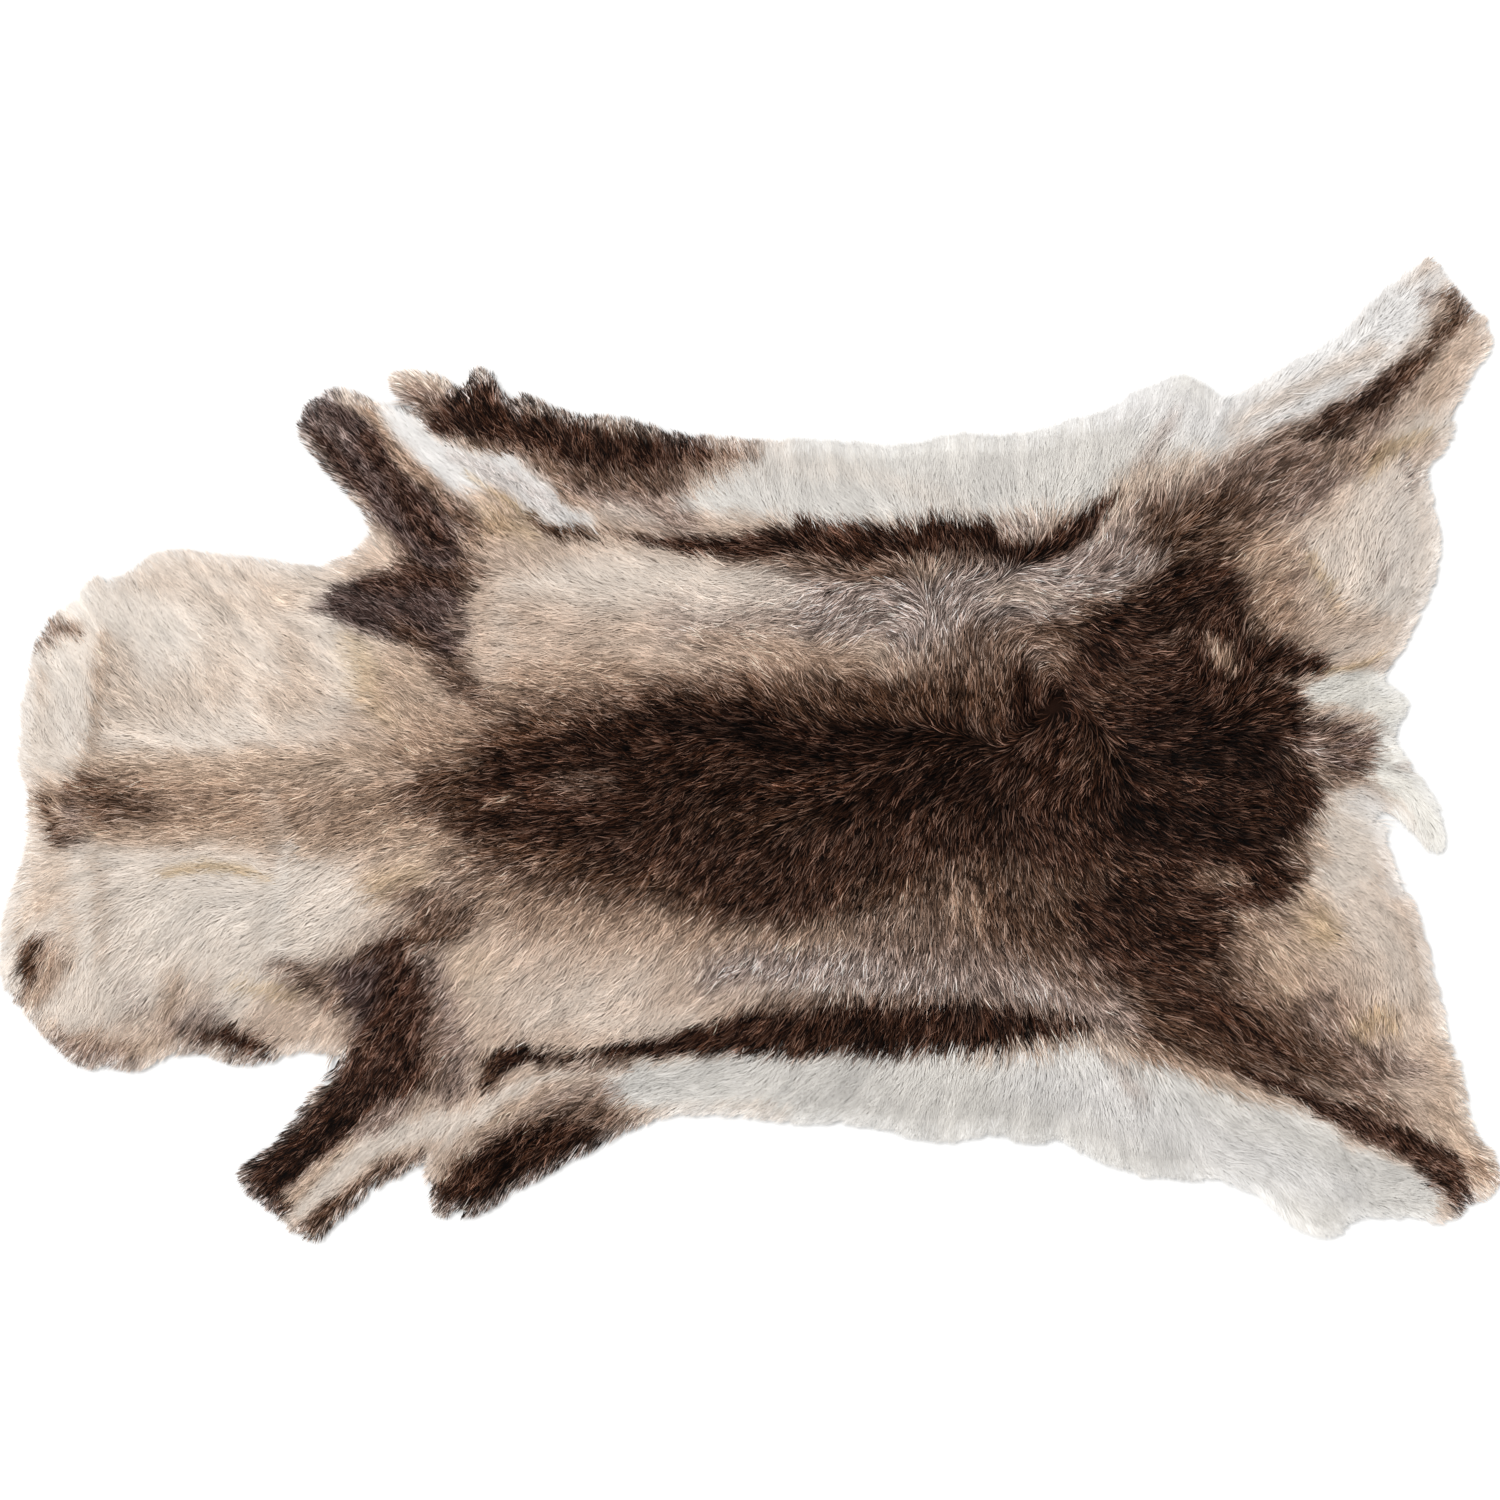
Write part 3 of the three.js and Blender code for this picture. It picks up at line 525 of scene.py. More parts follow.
    ("cocoa", 7, 0.8, [(-334, 270, 7), (-318, 250, 9), (-304, 228, 10), (-288, 204, 11),
        (-272, 182, 13)]),
    ("cocoa", 7, 0.6, [(-376, 272, 5), (-354, 250, 7), (-336, 230, 6)]),
    ("fawn", 4, 0.7, [(-356, 236, 2), (-336, 210, 3)]),
    ("frost", 6, 0.35, [(-374, 290, 8), (-352, 266, 5)]),
    ("fawn", 4, 0.5, [(-385, 282, 2), (-361, 240, 3), (-332, 207, 3), (-325, 190, 3)]),
    # left shoulder and foreleg
    ("greyBrown", 14, 0.95, [(-296, -126, 10), (-276, -142, 20), (-250, -144, 13)]),
    ("umber", 10, 0.8, [(-290, -161, 8), (-262, -160, 12)]),
    ("taupe", 12, 0.95, [(-284, -190, 16), (-274, -225, 18), (-264, -262, 24), (-262, -290, 16)]),
    ("greyBrown", 10, 0.7, [(-284, -230, 12), (-280, -270, 16)]),
    ("greyBrown", 8, 0.78, [(-411, -188, 8), (-390, -197, 14), (-364, -206, 20), (-345, -208, 24)]),
    ("slate", 8, 1.0, [(-346, -196, 16), (-325, -204, 27), (-312, -240, 28), (-318, -270, 32)]),
    ("cocoa", 7, 0.85, [(-346, -181, 3), (-326, -173, 8), (-302, -164, 10)]),
    ("umber", 8, 0.6, [(-300, -170, 8), (-282, -168, 9)]),
    ("greyBrown", 12, 0.5, [(-268, -118, 8), (-246, -120, 8)]),
    ("greyBrown", 10, 0.3, [(-332, -156, 7), (-312, -150, 8)]),
    ("umber", 9, 0.6, [(-288, -276, 9), (-282, -290, 9)]),
    ("cocoa", 9, 0.9, [(-312, -176, 10), (-304, -200, 20), (-306, -232, 22), (-310, -262, 20)]),
    ("taupe", 8, 0.9, [(-304, -304, 12), (-322, -322, 13), (-344, -340, 10)]),
    ("tan", 6, 0.9, [(-345, -342, 7), (-372, -366, 6), (-396, -390, 6)]),
    ("cocoa", 6, 1.0, [(-314, -270, 35), (-338, -290, 26), (-354, -310, 21), (-372, -328, 20),
        (-394, -346, 18), (-414, -364, 20), (-426, -380, 17)]),
    ("cocoa", 5, 0.95, [(-424, -374, 14), (-409, -394, 9)]),
    ("sable", 6, 0.85, [(-346, -300, 12), (-364, -322, 14), (-388, -344, 15), (-406, -362, 14),
        (-420, -378, 9)]),
    # breast flaps
    ("taupe", 12, 0.9, [(-168, 236, 9), (-132, 224, 16), (-98, 222, 18), (-66, 227, 12)]),
    ("taupe", 10, 0.9, [(-112, 205, 8), (-76, 201, 11), (-50, 197, 8)]),
    ("greyBrown", 10, 0.95, [(-200, 260, 14), (-160, 252, 20), (-120, 244, 24), (-80, 244, 20),
        (-44, 250, 13), (-16, 255, 7), (2, 257, 3)]),
    ("taupe", 9, 0.95, [(-302, 314, 11), (-276, 306, 14), (-262, 300, 12)]),
    ("greyBrown", 8, 0.85, [(-298, 300, 10), (-276, 292, 11)]),
    ("tan", 6, 0.8, [(-312, 318, 4), (-290, 322, 5), (-268, 316, 4)]),
    ("cocoa", 7, 1.0, [(-276, 280, 8), (-254, 294, 16), (-236, 302, 24), (-214, 292, 24),
        (-190, 284, 20), (-160, 272, 23), (-131, 265, 24), (-100, 262, 21), (-70, 260, 15),
        (-40, 259, 7)]),
    ("sable", 8, 0.8, [(-262, 282, 6), (-236, 292, 14), (-210, 282, 15), (-170, 272, 14),
        (-130, 262, 14), (-96, 260, 11)]),
    ("cocoa", 6, 0.85, [(-264, 276, 5), (-240, 274, 7), (-214, 270, 8)]),
    ("fawn", 5, 0.5, [(-256, 264, 3), (-236, 260, 4), (-216, 256, 4)]),
    ("umber", 5, 0.8, [(-236, 262, 3), (-226, 260, 5), (-218, 262, 2)]),
    ("tan", 5, 0.55, [(-196, 300, 2), (-165, 291, 3), (-130, 284, 3), (-90, 278, 3), (-43, 270, 3)]),
    ("snow", 7, 1.0, [(-318, 294, 6), (-298, 276, 12), (-278, 258, 14), (-256, 240, 14), (-232, 232, 8)]),
    ("snow", 6, 1.0, [(-262, 262, 4), (-238, 246, 9), (-210, 240, 14), (-186, 222, 14), (-162, 206, 9),
        (-136, 196, 4)]),
    ("cream", 8, 0.7, [(-120, 204, 6), (-90, 200, 6)]),
    ("frost", 8, 0.4, [(-256, 254, 3), (-226, 240, 6), (-196, 228, 6), (-170, 212, 4)]),
    ("fawn", 5, 0.6, [(-176, 244, 3), (-160, 224, 4), (-140, 210, 3)]),
    ("ochre", 2.5, 0.8, [(-242, 237, 1), (-222, 224, 1.5), (-205, 214, 2), (-190, 203, 2)]),
    ("umber", 4, 0.95, [(-192, 205, 1), (-176, 196, 4), (-158, 190, 5), (-140, 187, 4), (-124, 186, 1),
        (-96, 184, 2)]),
    ("taupe", 9, 0.6, [(-186, -306, 6), (-152, -300, 6), (-122, -296, 7)]),
    ("greyBrown", 9, 0.9, [(-226, -340, 7), (-204, -330, 9), (-176, -320, 10), (-146, -315, 11),
        (-122, -317, 11), (-102, -322, 5)]),
    ("sable", 6, 1.0, [(-258, -387, 15), (-240, -377, 22), (-215, -366, 25), (-190, -352, 26),
        (-164, -340, 21), (-142, -332, 12), (-124, -329, 5)]),
    ("sand", 5, 0.5, [(-262, -346, 5), (-278, -366, 3)]),
    ("umber", 6, 0.6, [(-250, -356, 8), (-262, -372, 6)]),
    ("cream", 5, 1.0, [(-392, -399, 6), (-364, -371, 9), (-336, -347, 9), (-300, -332, 10),
        (-268, -324, 11), (-240, -318, 8), (-218, -304, 7), (-190, -290, 4), (-150, -279, 4),
        (-116, -278, 6)]),
    ("cream", 5, 0.7, [(-262, -342, 4), (-254, -332, 5)]),
    ("tan", 4, 0.7, [(-236, -330, 3), (-206, -312, 3), (-176, -298, 3)]),
    ("greyBrown", 5, 0.95, [(-386, -418, 9), (-362, -399, 11), (-336, -378, 11), (-306, -361, 8),
        (-284, -352, 4)]),
    ("umber", 5, 0.9, [(-384, -422, 7), (-362, -403, 10), (-342, -386, 10), (-318, -368, 5)]),
    ("umber", 9, 0.8, [(-224, -290, 8), (-228, -272, 8)]),
    ("greyBrown", 5, 0.75, [(-180, -276, 2), (-140, -277, 4), (-106, -272, 5)]),
    ("greyBrown", 8, 0.5, [(126, -217, 5), (176, -218, 6)]),
    # neck
    ("greyBrown", 10, 0.55, [(-590, -40, 10), (-560, -45, 20), (-535, -44, 18), (-516, -50, 10)]),
    ("sand", 8, 0.75, [(-416, -34, 6), (-410, -70, 8), (-412, -96, 8)]),
    ("sand", 10, 0.5, [(-350, -24, 8), (-320, -22, 8), (-300, -26, 6)]),
    ("greyBrown", 12, 0.15, [(-510, -38, 9), (-470, -46, 8)]),
    ("umber", 7, 0.8, [(-574, -16, 4), (-568, -36, 6), (-562, -54, 6)]),
    ("umber", 8, 0.5, [(-552, -46, 10), (-532, -44, 10)]),
    ("greyBrown", 8, 0.85, [(-602, -72, 10), (-584, -78, 8), (-590, -40, 8)]),
    ("umber", 7, 0.8, [(-588, -27, 6), (-578, -26, 4)]),
    ("umber", 5, 1.0, [(-618, -42, 3), (-612, -58, 4), (-606, -72, 6), (-602, -84, 6)]),
    ("frost", 5, 0.6, [(-598, -52, 4), (-584, -60, 6)]),
    ("taupe", 8, 0.5, [(-612, -168, 6), (-606, -182, 8)]),
    ("umber", 7, 1.0, [(-624, -174, 7), (-628, -196, 7), (-634, -212, 3)]),
    ("fawn", 12, 0.85, [(-608, -176, 9), (-604, -192, 11), (-624, -214, 10)]),
    ("umber", 6, 0.95, [(-624, -170, 6), (-625, -182, 9), (-630, -193, 6)]),
    ("milk", 8, 0.4, [(-634, -96, 4), (-640, -126, 4)]),
    ("tan", 6, 0.6, [(-634, -146, 5), (-637, -160, 5)]),
    ("fawn", 9, 0.9, [(-622, -236, 5), (-600, -254, 9), (-576, -260, 12), (-548, -264, 10)]),
    ("taupe", 8, 0.75, [(-606, -250, 5), (-586, -260, 8), (-560, -266, 8), (-536, -268, 5)]),
    ("fawn", 12, 0.4, [(-540, -236, 8), (-506, -224, 12), (-478, -210, 10)]),
    ("umber", 7, 0.6, [(-496, -246, 6), (-470, -244, 8)]),
    ("tan", 10, 0.8, [(-534, -262, 6), (-510, -250, 8), (-500, -200, 10)]),
    ("taupe", 12, 0.8, [(-506, -240, 8), (-484, -236, 12), (-468, -230, 9)]),
    ("frost", 8, 0.5, [(-542, -200, 4), (-534, -226, 6)]),
    ("cocoa", 7, 1.0, [(-472, -248, 6), (-454, -246, 11), (-436, -252, 12), (-420, -260, 7)]),
    ("fawn", 8, 0.9, [(-612, 92, 4), (-602, 102, 7), (-584, 100, 6)]),
    ("greyBrown", 6, 0.85, [(-614, 90, 4), (-606, 100, 6), (-588, 101, 4)]),
    ("taupe", 4, 0.6, [(-595, 44, 2), (-588, 27, 3), (-579, 12, 2)]),
    ("tan", 5, 0.5, [(-618, 70, 2), (-616, 44, 2)]),
    ("milk", 10, 0.85, [(-594, 74, 14), (-594, 30, 12), (-588, 4, 6)]),
    # painted highlight on the lit side of a neck crease
    ("milk", 7, 0.6, [(-577, 84, 4), (-579, 40, 4), (-580, 10, 3)]),
    ("milk", 8, 0.6, [(-585, 135, 12), (-566, 134, 8)]),
    # painted shade on the far side of that crease
    ("tan", 6, 0.8, [(-558, 96, 3), (-562, 60, 5), (-565, 20, 4), (-568, 0, 3)]),
    ("tan", 14, 0.5, [(-548, 84, 8), (-544, 52, 10)]),
    ("tan", 26, 0.3, [(-466, 112, 12), (-452, 66, 14)]),
    ("tan", 12, 0.45, [(-580, -10, 8), (-520, -8, 8)]),
    ("sand", 12, 0.35, [(-380, -26, 8), (-374, -58, 8)]),
    ("tan", 14, 0.4, [(-560, 148, 8), (-500, 144, 8), (-450, 126, 8)]),
    ("tan", 12, 0.4, [(-490, 160, 4), (-440, 150, 6), (-402, 132, 6)]),
    ("tan", 12, 0.5, [(-622, -84, 6), (-624, -124, 10), (-618, -146, 6)]),
    ("tan", 6, 0.6, [(-594, -92, 3), (-594, -150, 4), (-588, -190, 3)]),
    ("tan", 8, 0.6, [(-606, -90, 5), (-606, -128, 6), (-618, -140, 5)]),
    # painted shade on the far side of the same crease, lower down
    ("tan", 6, 0.5, [(-566, -92, 3), (-562, -150, 4), (-562, -185, 2)]),
    # painted highlight on its lit side, lower down
    ("milk", 5, 0.7, [(-574, -98, 3), (-572, -150, 4), (-574, -196, 3)]),
    # painted highlight on a lit ridge of the neck
    ("milk", 8, 0.8, [(-404, -86, 6), (-410, -130, 7), (-414, -176, 6)]),
    # a yellowish crease line of the neck, its darkness painted crease shade
    ("ochre", 4, 0.7, [(-516, -103, 2), (-478, -101, 4), (-440, -104, 3), (-420, -110, 2)]),
    ("ochre", 6, 0.7, [(-450, -205, 2), (-422, -210, 4), (-398, -216, 3)]),
    ("greyBrown", 8, 0.6, [(-352, -242, 8), (-342, -256, 8)]),
    # rump and tail
    ("ochre", 6, 0.7, [(484, 168, 3), (494, 150, 4), (504, 130, 4), (510, 116, 3)]),
    ("fawn", 12, 0.5, [(468, 112, 11), (482, 102, 9)]),
    ("sand", 14, 0.9, [(506, 104, 12), (540, 98, 16)]),
    ("cream", 12, 0.6, [(514, 88, 8), (552, 92, 14)]),
    ("ivory", 6, 1.0, [(489, 49, 9), (509, 53, 17), (530, 52, 19), (552, 46, 18)]),
    ("ochre", 3, 0.8, [(488, 68, 1), (516, 73, 2), (546, 79, 2)]),
    ("cream", 7, 1.0, [(512, -40, 10), (524, -60, 22), (518, -100, 22), (504, -120, 14)]),
    ("snow", 8, 0.6, [(530, -44, 12), (552, -70, 12), (562, -120, 12)]),
    ("tan", 10, 0.8, [(468, -138, 6), (482, -134, 8), (496, -126, 7)]),
    ("cocoa", 12, 0.6, [(432, -124, 11), (456, -128, 10)]),
    ("greyBrown", 10, 0.5, [(446, -150, 8), (466, -148, 8)]),
    ("ivory", 7, 1.0, [(556, 40, 16), (558, 12, 15), (556, -20, 20), (580, -46, 18), (597, -80, 12)]),
    ("cocoa", 8, 0.8, [(470, 18, 10), (486, 14, 10)]),
    ("taupe", 8, 0.95, [(482, 4, 12), (494, 6, 16), (508, 2, 20), (528, -4, 18)]),
    ("cocoa", 7, 0.6, [(474, 20, 8), (484, 2, 8), (484, -24, 8)]),
    ("greyBrown", 6, 0.75, [(494, 20, 6), (512, 8, 12), (528, -4, 13), (520, -16, 12), (504, -24, 7)]),
    ("slate", 3, 0.75, [(486, 20, 2), (504, 30, 2)]),
    ("slate", 3, 0.75, [(504, 12, 3), (524, 20, 3)]),
    ("slate", 3, 0.75, [(508, 0, 3), (534, 6, 4)]),
    ("slate", 3, 0.75, [(504, -12, 3), (528, -16, 4)]),
    ("belly", 3, 0.6, [(496, 28, 1), (530, 34, 2)]),
    ("belly", 3, 0.5, [(520, 12, 1), (546, 22, 2)]),
    ("taupe", 5, 0.7, [(544, 14, 5), (536, 24, 3)]),
    ("fawn", 6, 0.4, [(462, -8, 5), (480, -12, 4)]),
    ("frost", 3, 0.6, [(476, 2, 1), (494, -6, 2), (512, 0, 1)]),
    ("taupe", 5, 0.5, [(562, -16, 4), (572, -20, 3)]),
    ("cocoa", 6, 0.95, [(432, 88, 8), (450, 86, 13), (470, 80, 14), (488, 76, 12)]),
    ("sable", 7, 0.95, [(425, 44, 16), (452, 42, 20), (463, 42, 17)]),
    ("sable", 6, 0.95, [(440, -60, 20), (464, -46, 22), (484, -38, 15)]),
    ("umber", 6, 0.7, [(474, -84, 7), (482, -98, 8), (474, -112, 8)]),
    ("sable", 7, 0.9, [(430, -118, 12), (446, -112, 12), (464, -108, 12)]),
    ("fawn", 6, 0.6, [(462, -84, 6), (478, -86, 8)]),
    ("tan", 6, 0.6, [(494, -74, 6), (502, -88, 7)]),
    ("fawn", 7, 0.9, [(400, 92, 6), (412, 86, 10), (420, 76, 6)]),
    ("fawn", 7, 0.65, [(392, -108, 4), (408, -108, 8), (424, -106, 4)]),
    ("cocoa", 10, 0.6, [(394, 117, 9), (406, 108, 7)]),
    ("umber", 8, 0.5, [(442, 106, 8), (454, 100, 6)]),
    ("cocoa", 6, 0.9, [(380, -127, 8), (430, -125, 7), (466, -122, 6)]),
    ("fawn", 6, 0.3, [(446, 64, 5), (464, 66, 5)]),
    ("greyBrown", 7, 0.6, [(360, 92, 4), (378, 100, 4)]),
    # painted shade in a hollow of the back
    ("sable", 6, 0.95, [(232, 76, 4), (238, 62, 8), (242, 44, 8), (250, 26, 4)]),
    ("black", 3, 1.0, [(484, 272, 1.5), (500, 276, 3.5), (522, 274, 2)]),
    ("ochre", 8, 0.7, [(538, 240, 5), (548, 256, 5), (572, 270, 5), (588, 274, 3)]),
    ("frost", 8, 0.6, [(570, 254, 5), (576, 240, 6), (572, 228, 4)]),
    ("taupe", 5, 0.6, [(551, 158, 2), (546, 146, 3)]),
    ("taupe", 7, 0.5, [(466, 158, 5), (472, 142, 4), (480, 182, 3)]),
    ("tan", 12, 0.7, [(440, 160, 10), (466, 158, 8)]),
    ("sand", 10, 0.6, [(482, 134, 8), (502, 124, 8)]),
    ("tan", 10, 0.45, [(500, 262, 6), (516, 248, 7)]),
    ("snow", 8, 0.6, [(486, 302, 6), (510, 314, 7)]),
    ("fawn", 9, 0.45, [(406, 196, 7), (420, 190, 8)]),
    ("fawn", 10, 0.35, [(412, -142, 6), (424, -146, 7)]),
    ("cream", 10, 0.6, [(588, -150, 7), (594, -200, 7), (602, -240, 5)]),
]
painting = {
    "wide": (42, 4),              # mm: size of the broad waves in the markings' edges, and their shift
    "fine": (9, 3.2),             # mm: size of the fine ones, and their shift
    "inside": 6,                  # mm inside the rim where the places beside it are read
    "inward": 20,                 # mm that such a place is moved at most
    "pale": (9, 0.28),            # mm of paler rim, and how much paler it is: partly pale hair tips, partly painted light at the edge
    "clouds": ((60, 0.035), (17, 0.03)),        # mm and strength of cloudy light and dark
    "streaks": (4.5, 9),          # mm across a streak, and map steps that it runs each way
    "streakParts": (0.02, 0.16),  # strength of streaks: the least, and what a mixed tone adds; partly tone, partly painted lock shade
}


def lieStreaks():
    # noise averaged along the lie of the hair, both ways from each map point
    size, steps = painting["streaks"]
    total = 0
    for way in (step, -step):
        x, y = mapX, mapY
        for _ in range(steps):
            lie = readMap(lieMap, x, y)
            x, y = x + way * lie[..., 0], y + way * lie[..., 1]
            total = total + noise(x, y, size * mm, seeds["streaks"])
    return total / total.std()


def runNear(places, ends, room):
    # the run of places that lie between the ends, or past them by no more than the room
    met = np.flatnonzero((places > ends.min() - room) & (places < ends.max() + room))
    return slice(met[0], met[-1] + 1)


def markCover(line, softness, x, y, slack):
    # how far a marking covers the part of the map round it: fully on its line, and fading over its
    # softness where the gap to the line passes the half width there
    points = np.array(line, float) * mm
    room = points[:, 2].max() + softness + slack
    part = runNear(rows, points[:, 1], room), runNear(columns, points[:, 0], room)
    reach = np.full(x[part].shape, -np.inf)
    for (ax, ay, aw), (bx, by, bw) in zip(points, points[1:] if len(points) > 1 else points):
        long2 = max((bx - ax) ** 2 + (by - ay) ** 2, tiny)
        t = np.clip(((x[part] - ax) * (bx - ax) + (y[part] - ay) * (by - ay)) / long2, 0, 1)
        gap = np.hypot(x[part] - ax - t * (bx - ax), y[part] - ay - t * (by - ay))
        reach = np.maximum(reach, aw + t * (bw - aw) - gap)
    return part, ease(0.5 + reach / (2 * softness))


def paintedCoat():
    # the ground tone, then each marking over it; noise moves the places that the markings are read
    # at, those at the rim are read a little inside it, a narrow rim is paler (partly pale tips, partly
    # painted light at the edge), and clouds and streaks vary the whole, the streaks partly painted lock
    # shade
    (wide, wideShift), (fine, fineShift) = (np.array(painting[k]) * mm for k in ("wide", "fine"))
    inward = np.clip(painting["inside"] * mm - rimDistance, 0, painting["inward"] * mm)
    x = (mapX + rimX * inward + wideShift * noise(mapX, mapY, wide, seeds["wide"][0])
         + fineShift * noise(mapX, mapY, fine, seeds["fine"][0]))
    y = (mapY + rimY * inward + wideShift * noise(mapX, mapY, wide, seeds["wide"][1])
         + fineShift * noise(mapX, mapY, fine, seeds["fine"][1]))
    coat = np.ones((*mapX.shape, 4)) * coatTones["sand"]
    for tone, softness, strength, line in coatMarks:
        part, cover = markCover(line, softness * mm, x, y, wideShift + fineShift + step)
        cover = (cover * strength)[..., None]
        coat[part] = coat[part] * (1 - cover) + np.array(coatTones[tone]) * cover
    # a paler rim: partly pale hair tips, partly painted light at the edge
    paleWidth, paler = painting["pale"]
    rim = ease(1 - rimDistance / (paleWidth * mm))[..., None]
    coat[..., :3] += (255 - coat[..., :3]) * paler * rim
    cloud = 1
    for (size, strength), seed in zip(painting["clouds"], seeds["clouds"]):
        cloud = cloud + strength * noise(mapX, mapY, size * mm, seed)
    # streaks along the lie: partly the hair's tone, partly painted shade between locks
    least, added = painting["streakParts"]
    cloud *= np.exp(lieStreaks() * (least + added * coat[..., 3]))
    coat[..., :3] *= cloud[..., None] / 255
    return coat


coatMap = paintedCoat()
print("coat markings worked out,", len(coatMarks))


def lightness(x, y):
    # how pale the coat is at a place, 0 to 1
    return readMap(coatMap, x, y)[:, :3].mean(1)


# meshes from arrays
def newMesh(name, places, triangles):
    # whole arrays of places and triangles put into a mesh whose object stays at the origin
    mesh = bpy.data.meshes.new(name)
    mesh.vertices.add(len(places))
    mesh.vertices.foreach_set("co", places.astype(np.float32).ravel())
    mesh.loops.add(triangles.size)
    mesh.loops.foreach_set("vertex_index", triangles.astype(np.int32).ravel())
    mesh.polygons.add(len(triangles))
    mesh.polygons.foreach_set("loop_start", np.arange(0, triangles.size, 3, dtype=np.int32))
    mesh.update(calc_edges=True)
    made = bpy.data.objects.new(name, mesh)
    bpy.context.scene.collection.objects.link(made)
    return made


darkest = 0.004        # screen value that no colour goes below


def colourPoints(piece, colours):
    # one colour for each vertex, made linear from 0 to 1 screen values by a power of 2.2
    linear = np.ones((len(colours), 4), np.float32)
    linear[:, :3] = np.clip(colours, darkest, 1) ** 2.2
    layer = piece.data.color_attributes.new("coatColour", "FLOAT_COLOR", "POINT")
    layer.data.foreach_set("color", linear.ravel())


underside = {
    "facing": -0.3,        # upward part of a triangle's normal, below which it is underside
    "leastArea": 1e-12,    # m², twice the area below which a triangle counts as nothing
    "decimals": 5,         # of a metre, to which corners at one place agree
}


def undersideNet(triangles):
    # the hide's underside as one joined net that faces up: corners at one place become one point
    side = np.cross(triangles[:, 1] - triangles[:, 0], triangles[:, 2] - triangles[:, 0])
    facing = side[:, 2] / np.maximum(np.linalg.norm(side, axis=1), underside["leastArea"])
    below = triangles[facing < underside["facing"]][:, ::-1, :2].reshape(-1, 2)
    places = np.round(below, underside["decimals"])
    points, corners = np.unique(places, axis=0, return_inverse=True)
    corners = corners.reshape(-1, 3)
    whole = (corners != np.roll(corners, 1, axis=1)).all(1)
    return points, corners[whole]


def sidesOf(corners):
    # the three sides of every triangle, as pairs of points
    return np.concatenate([corners[:, [0, 1]], corners[:, [1, 2]], corners[:, [2, 0]]])


def splitNet(points, corners):
    # each triangle becomes four through the middles of its sides
    pairs, which = np.unique(np.sort(sidesOf(corners), axis=1), axis=0, return_inverse=True)
    ab, bc, ca = which.reshape(3, -1) + len(points)
    points = np.concatenate([points, points[pairs].mean(1)])
    a, b, c = corners.T
    fine = np.concatenate([np.stack(t, 1) for t in ((a, ab, ca), (ab, b, bc), (ca, bc, c), (ab, bc, ca))])
    return points, fine


def drawnIn(points, inset, zone):
    # points near the rim move inwards, by the inset at the rim itself and by less up to the zone
    distance = readMap(rimDistance, *points.T)
    inward = unit(np.stack([readMap(rimX, *points.T), readMap(rimY, *points.T)], 1))
    return points + inward * (inset * mm * np.clip(1 - distance / (zone * mm), 0, 1))[:, None]


def closedSheet(name, points, corners, low, high):
    # the net twice, at its low and its high heights, joined by a wall along the sides used once
    count = len(points)
    places = np.concatenate([np.column_stack([points, high]), np.column_stack([points, low])])
    sides = sidesOf(corners)
    _, first, uses = np.unique(np.sort(sides, axis=1), axis=0, return_index=True, return_counts=True)
    i, j = sides[first[uses == 1]].T
    wall = np.concatenate([np.stack([i, i + count, j + count], 1), np.stack([i, j + count, j], 1)])
    return newMesh(name, places, np.concatenate([corners, corners[:, ::-1] + count, wall]))


skinSheet = {
    "thickness": 1.8,      # mm
    "inset": 3.0,          # mm that the skin's edge stays inside the hair's outline
    "zone": 30,            # mm over which that fades
    "cockle": (0.5, 22),   # mm of unevenness from drying, and mm across it
    "flatSize": (0.848, 1.294),     # m, the box that the skin is cut from
}


def makeSkin(points, corners):
    # a thin closed sheet on the underside's heights, a little uneven, and the area of one side
    points = drawnIn(points, skinSheet["inset"], skinSheet["zone"])
    cockle, size = skinSheet["cockle"]
    waves = 0.5 + 0.5 * noise(*points.T, size * mm, seeds["cockle"])
    low = readMap(underMap, *points.T) + cockle * mm * waves
    made = closedSheet("skin", points, corners, low, low + skinSheet["thickness"] * mm)
    return made, float(np.abs(planArea(points[corners])).sum() / 2)


def skinTopAt(x, y):
    # the height of the skin's hair side
    return readMap(underMap, x, y) + skinSheet["thickness"] * mm


underwool = {
    "share": 0.52,         # of the coat's depth
    "inset": 7.0,          # mm
    "zone": 34,            # mm over which the inset fades
    "rim": 1.2,            # mm deep at its edge
    "slope": 26,           # mm from the edge to its full depth
    "sunk": 0.3,           # mm that it reaches into the skin
    "least": 0.9,          # mm, its least thickness
    "tufts": (1.6, 12),    # mm of unevenness on its top, and mm across a tuft
    "tuftSlope": 40,       # mm from the rim to full tufts
    "shade": (0.30, 0.84),  # painted shade under the hair: brightness beside the hair over it, a part and one that grows with its tone
    "foot": 0.9,           # brightness of its lower side beside its top
}


def woolTopAt(x, y):
    # the underwool's top: a share of the coat's depth, drawn down to its edge depth near the rim
    skinTop = skinTopAt(x, y)
    depth = (readMap(topMap, x, y) - skinTop) * underwool["share"]
    near = ease(readMap(rimDistance, x, y) / (underwool["slope"] * mm))
    return skinTop + underwool["rim"] * mm + np.maximum(depth - underwool["rim"] * mm, 0) * near


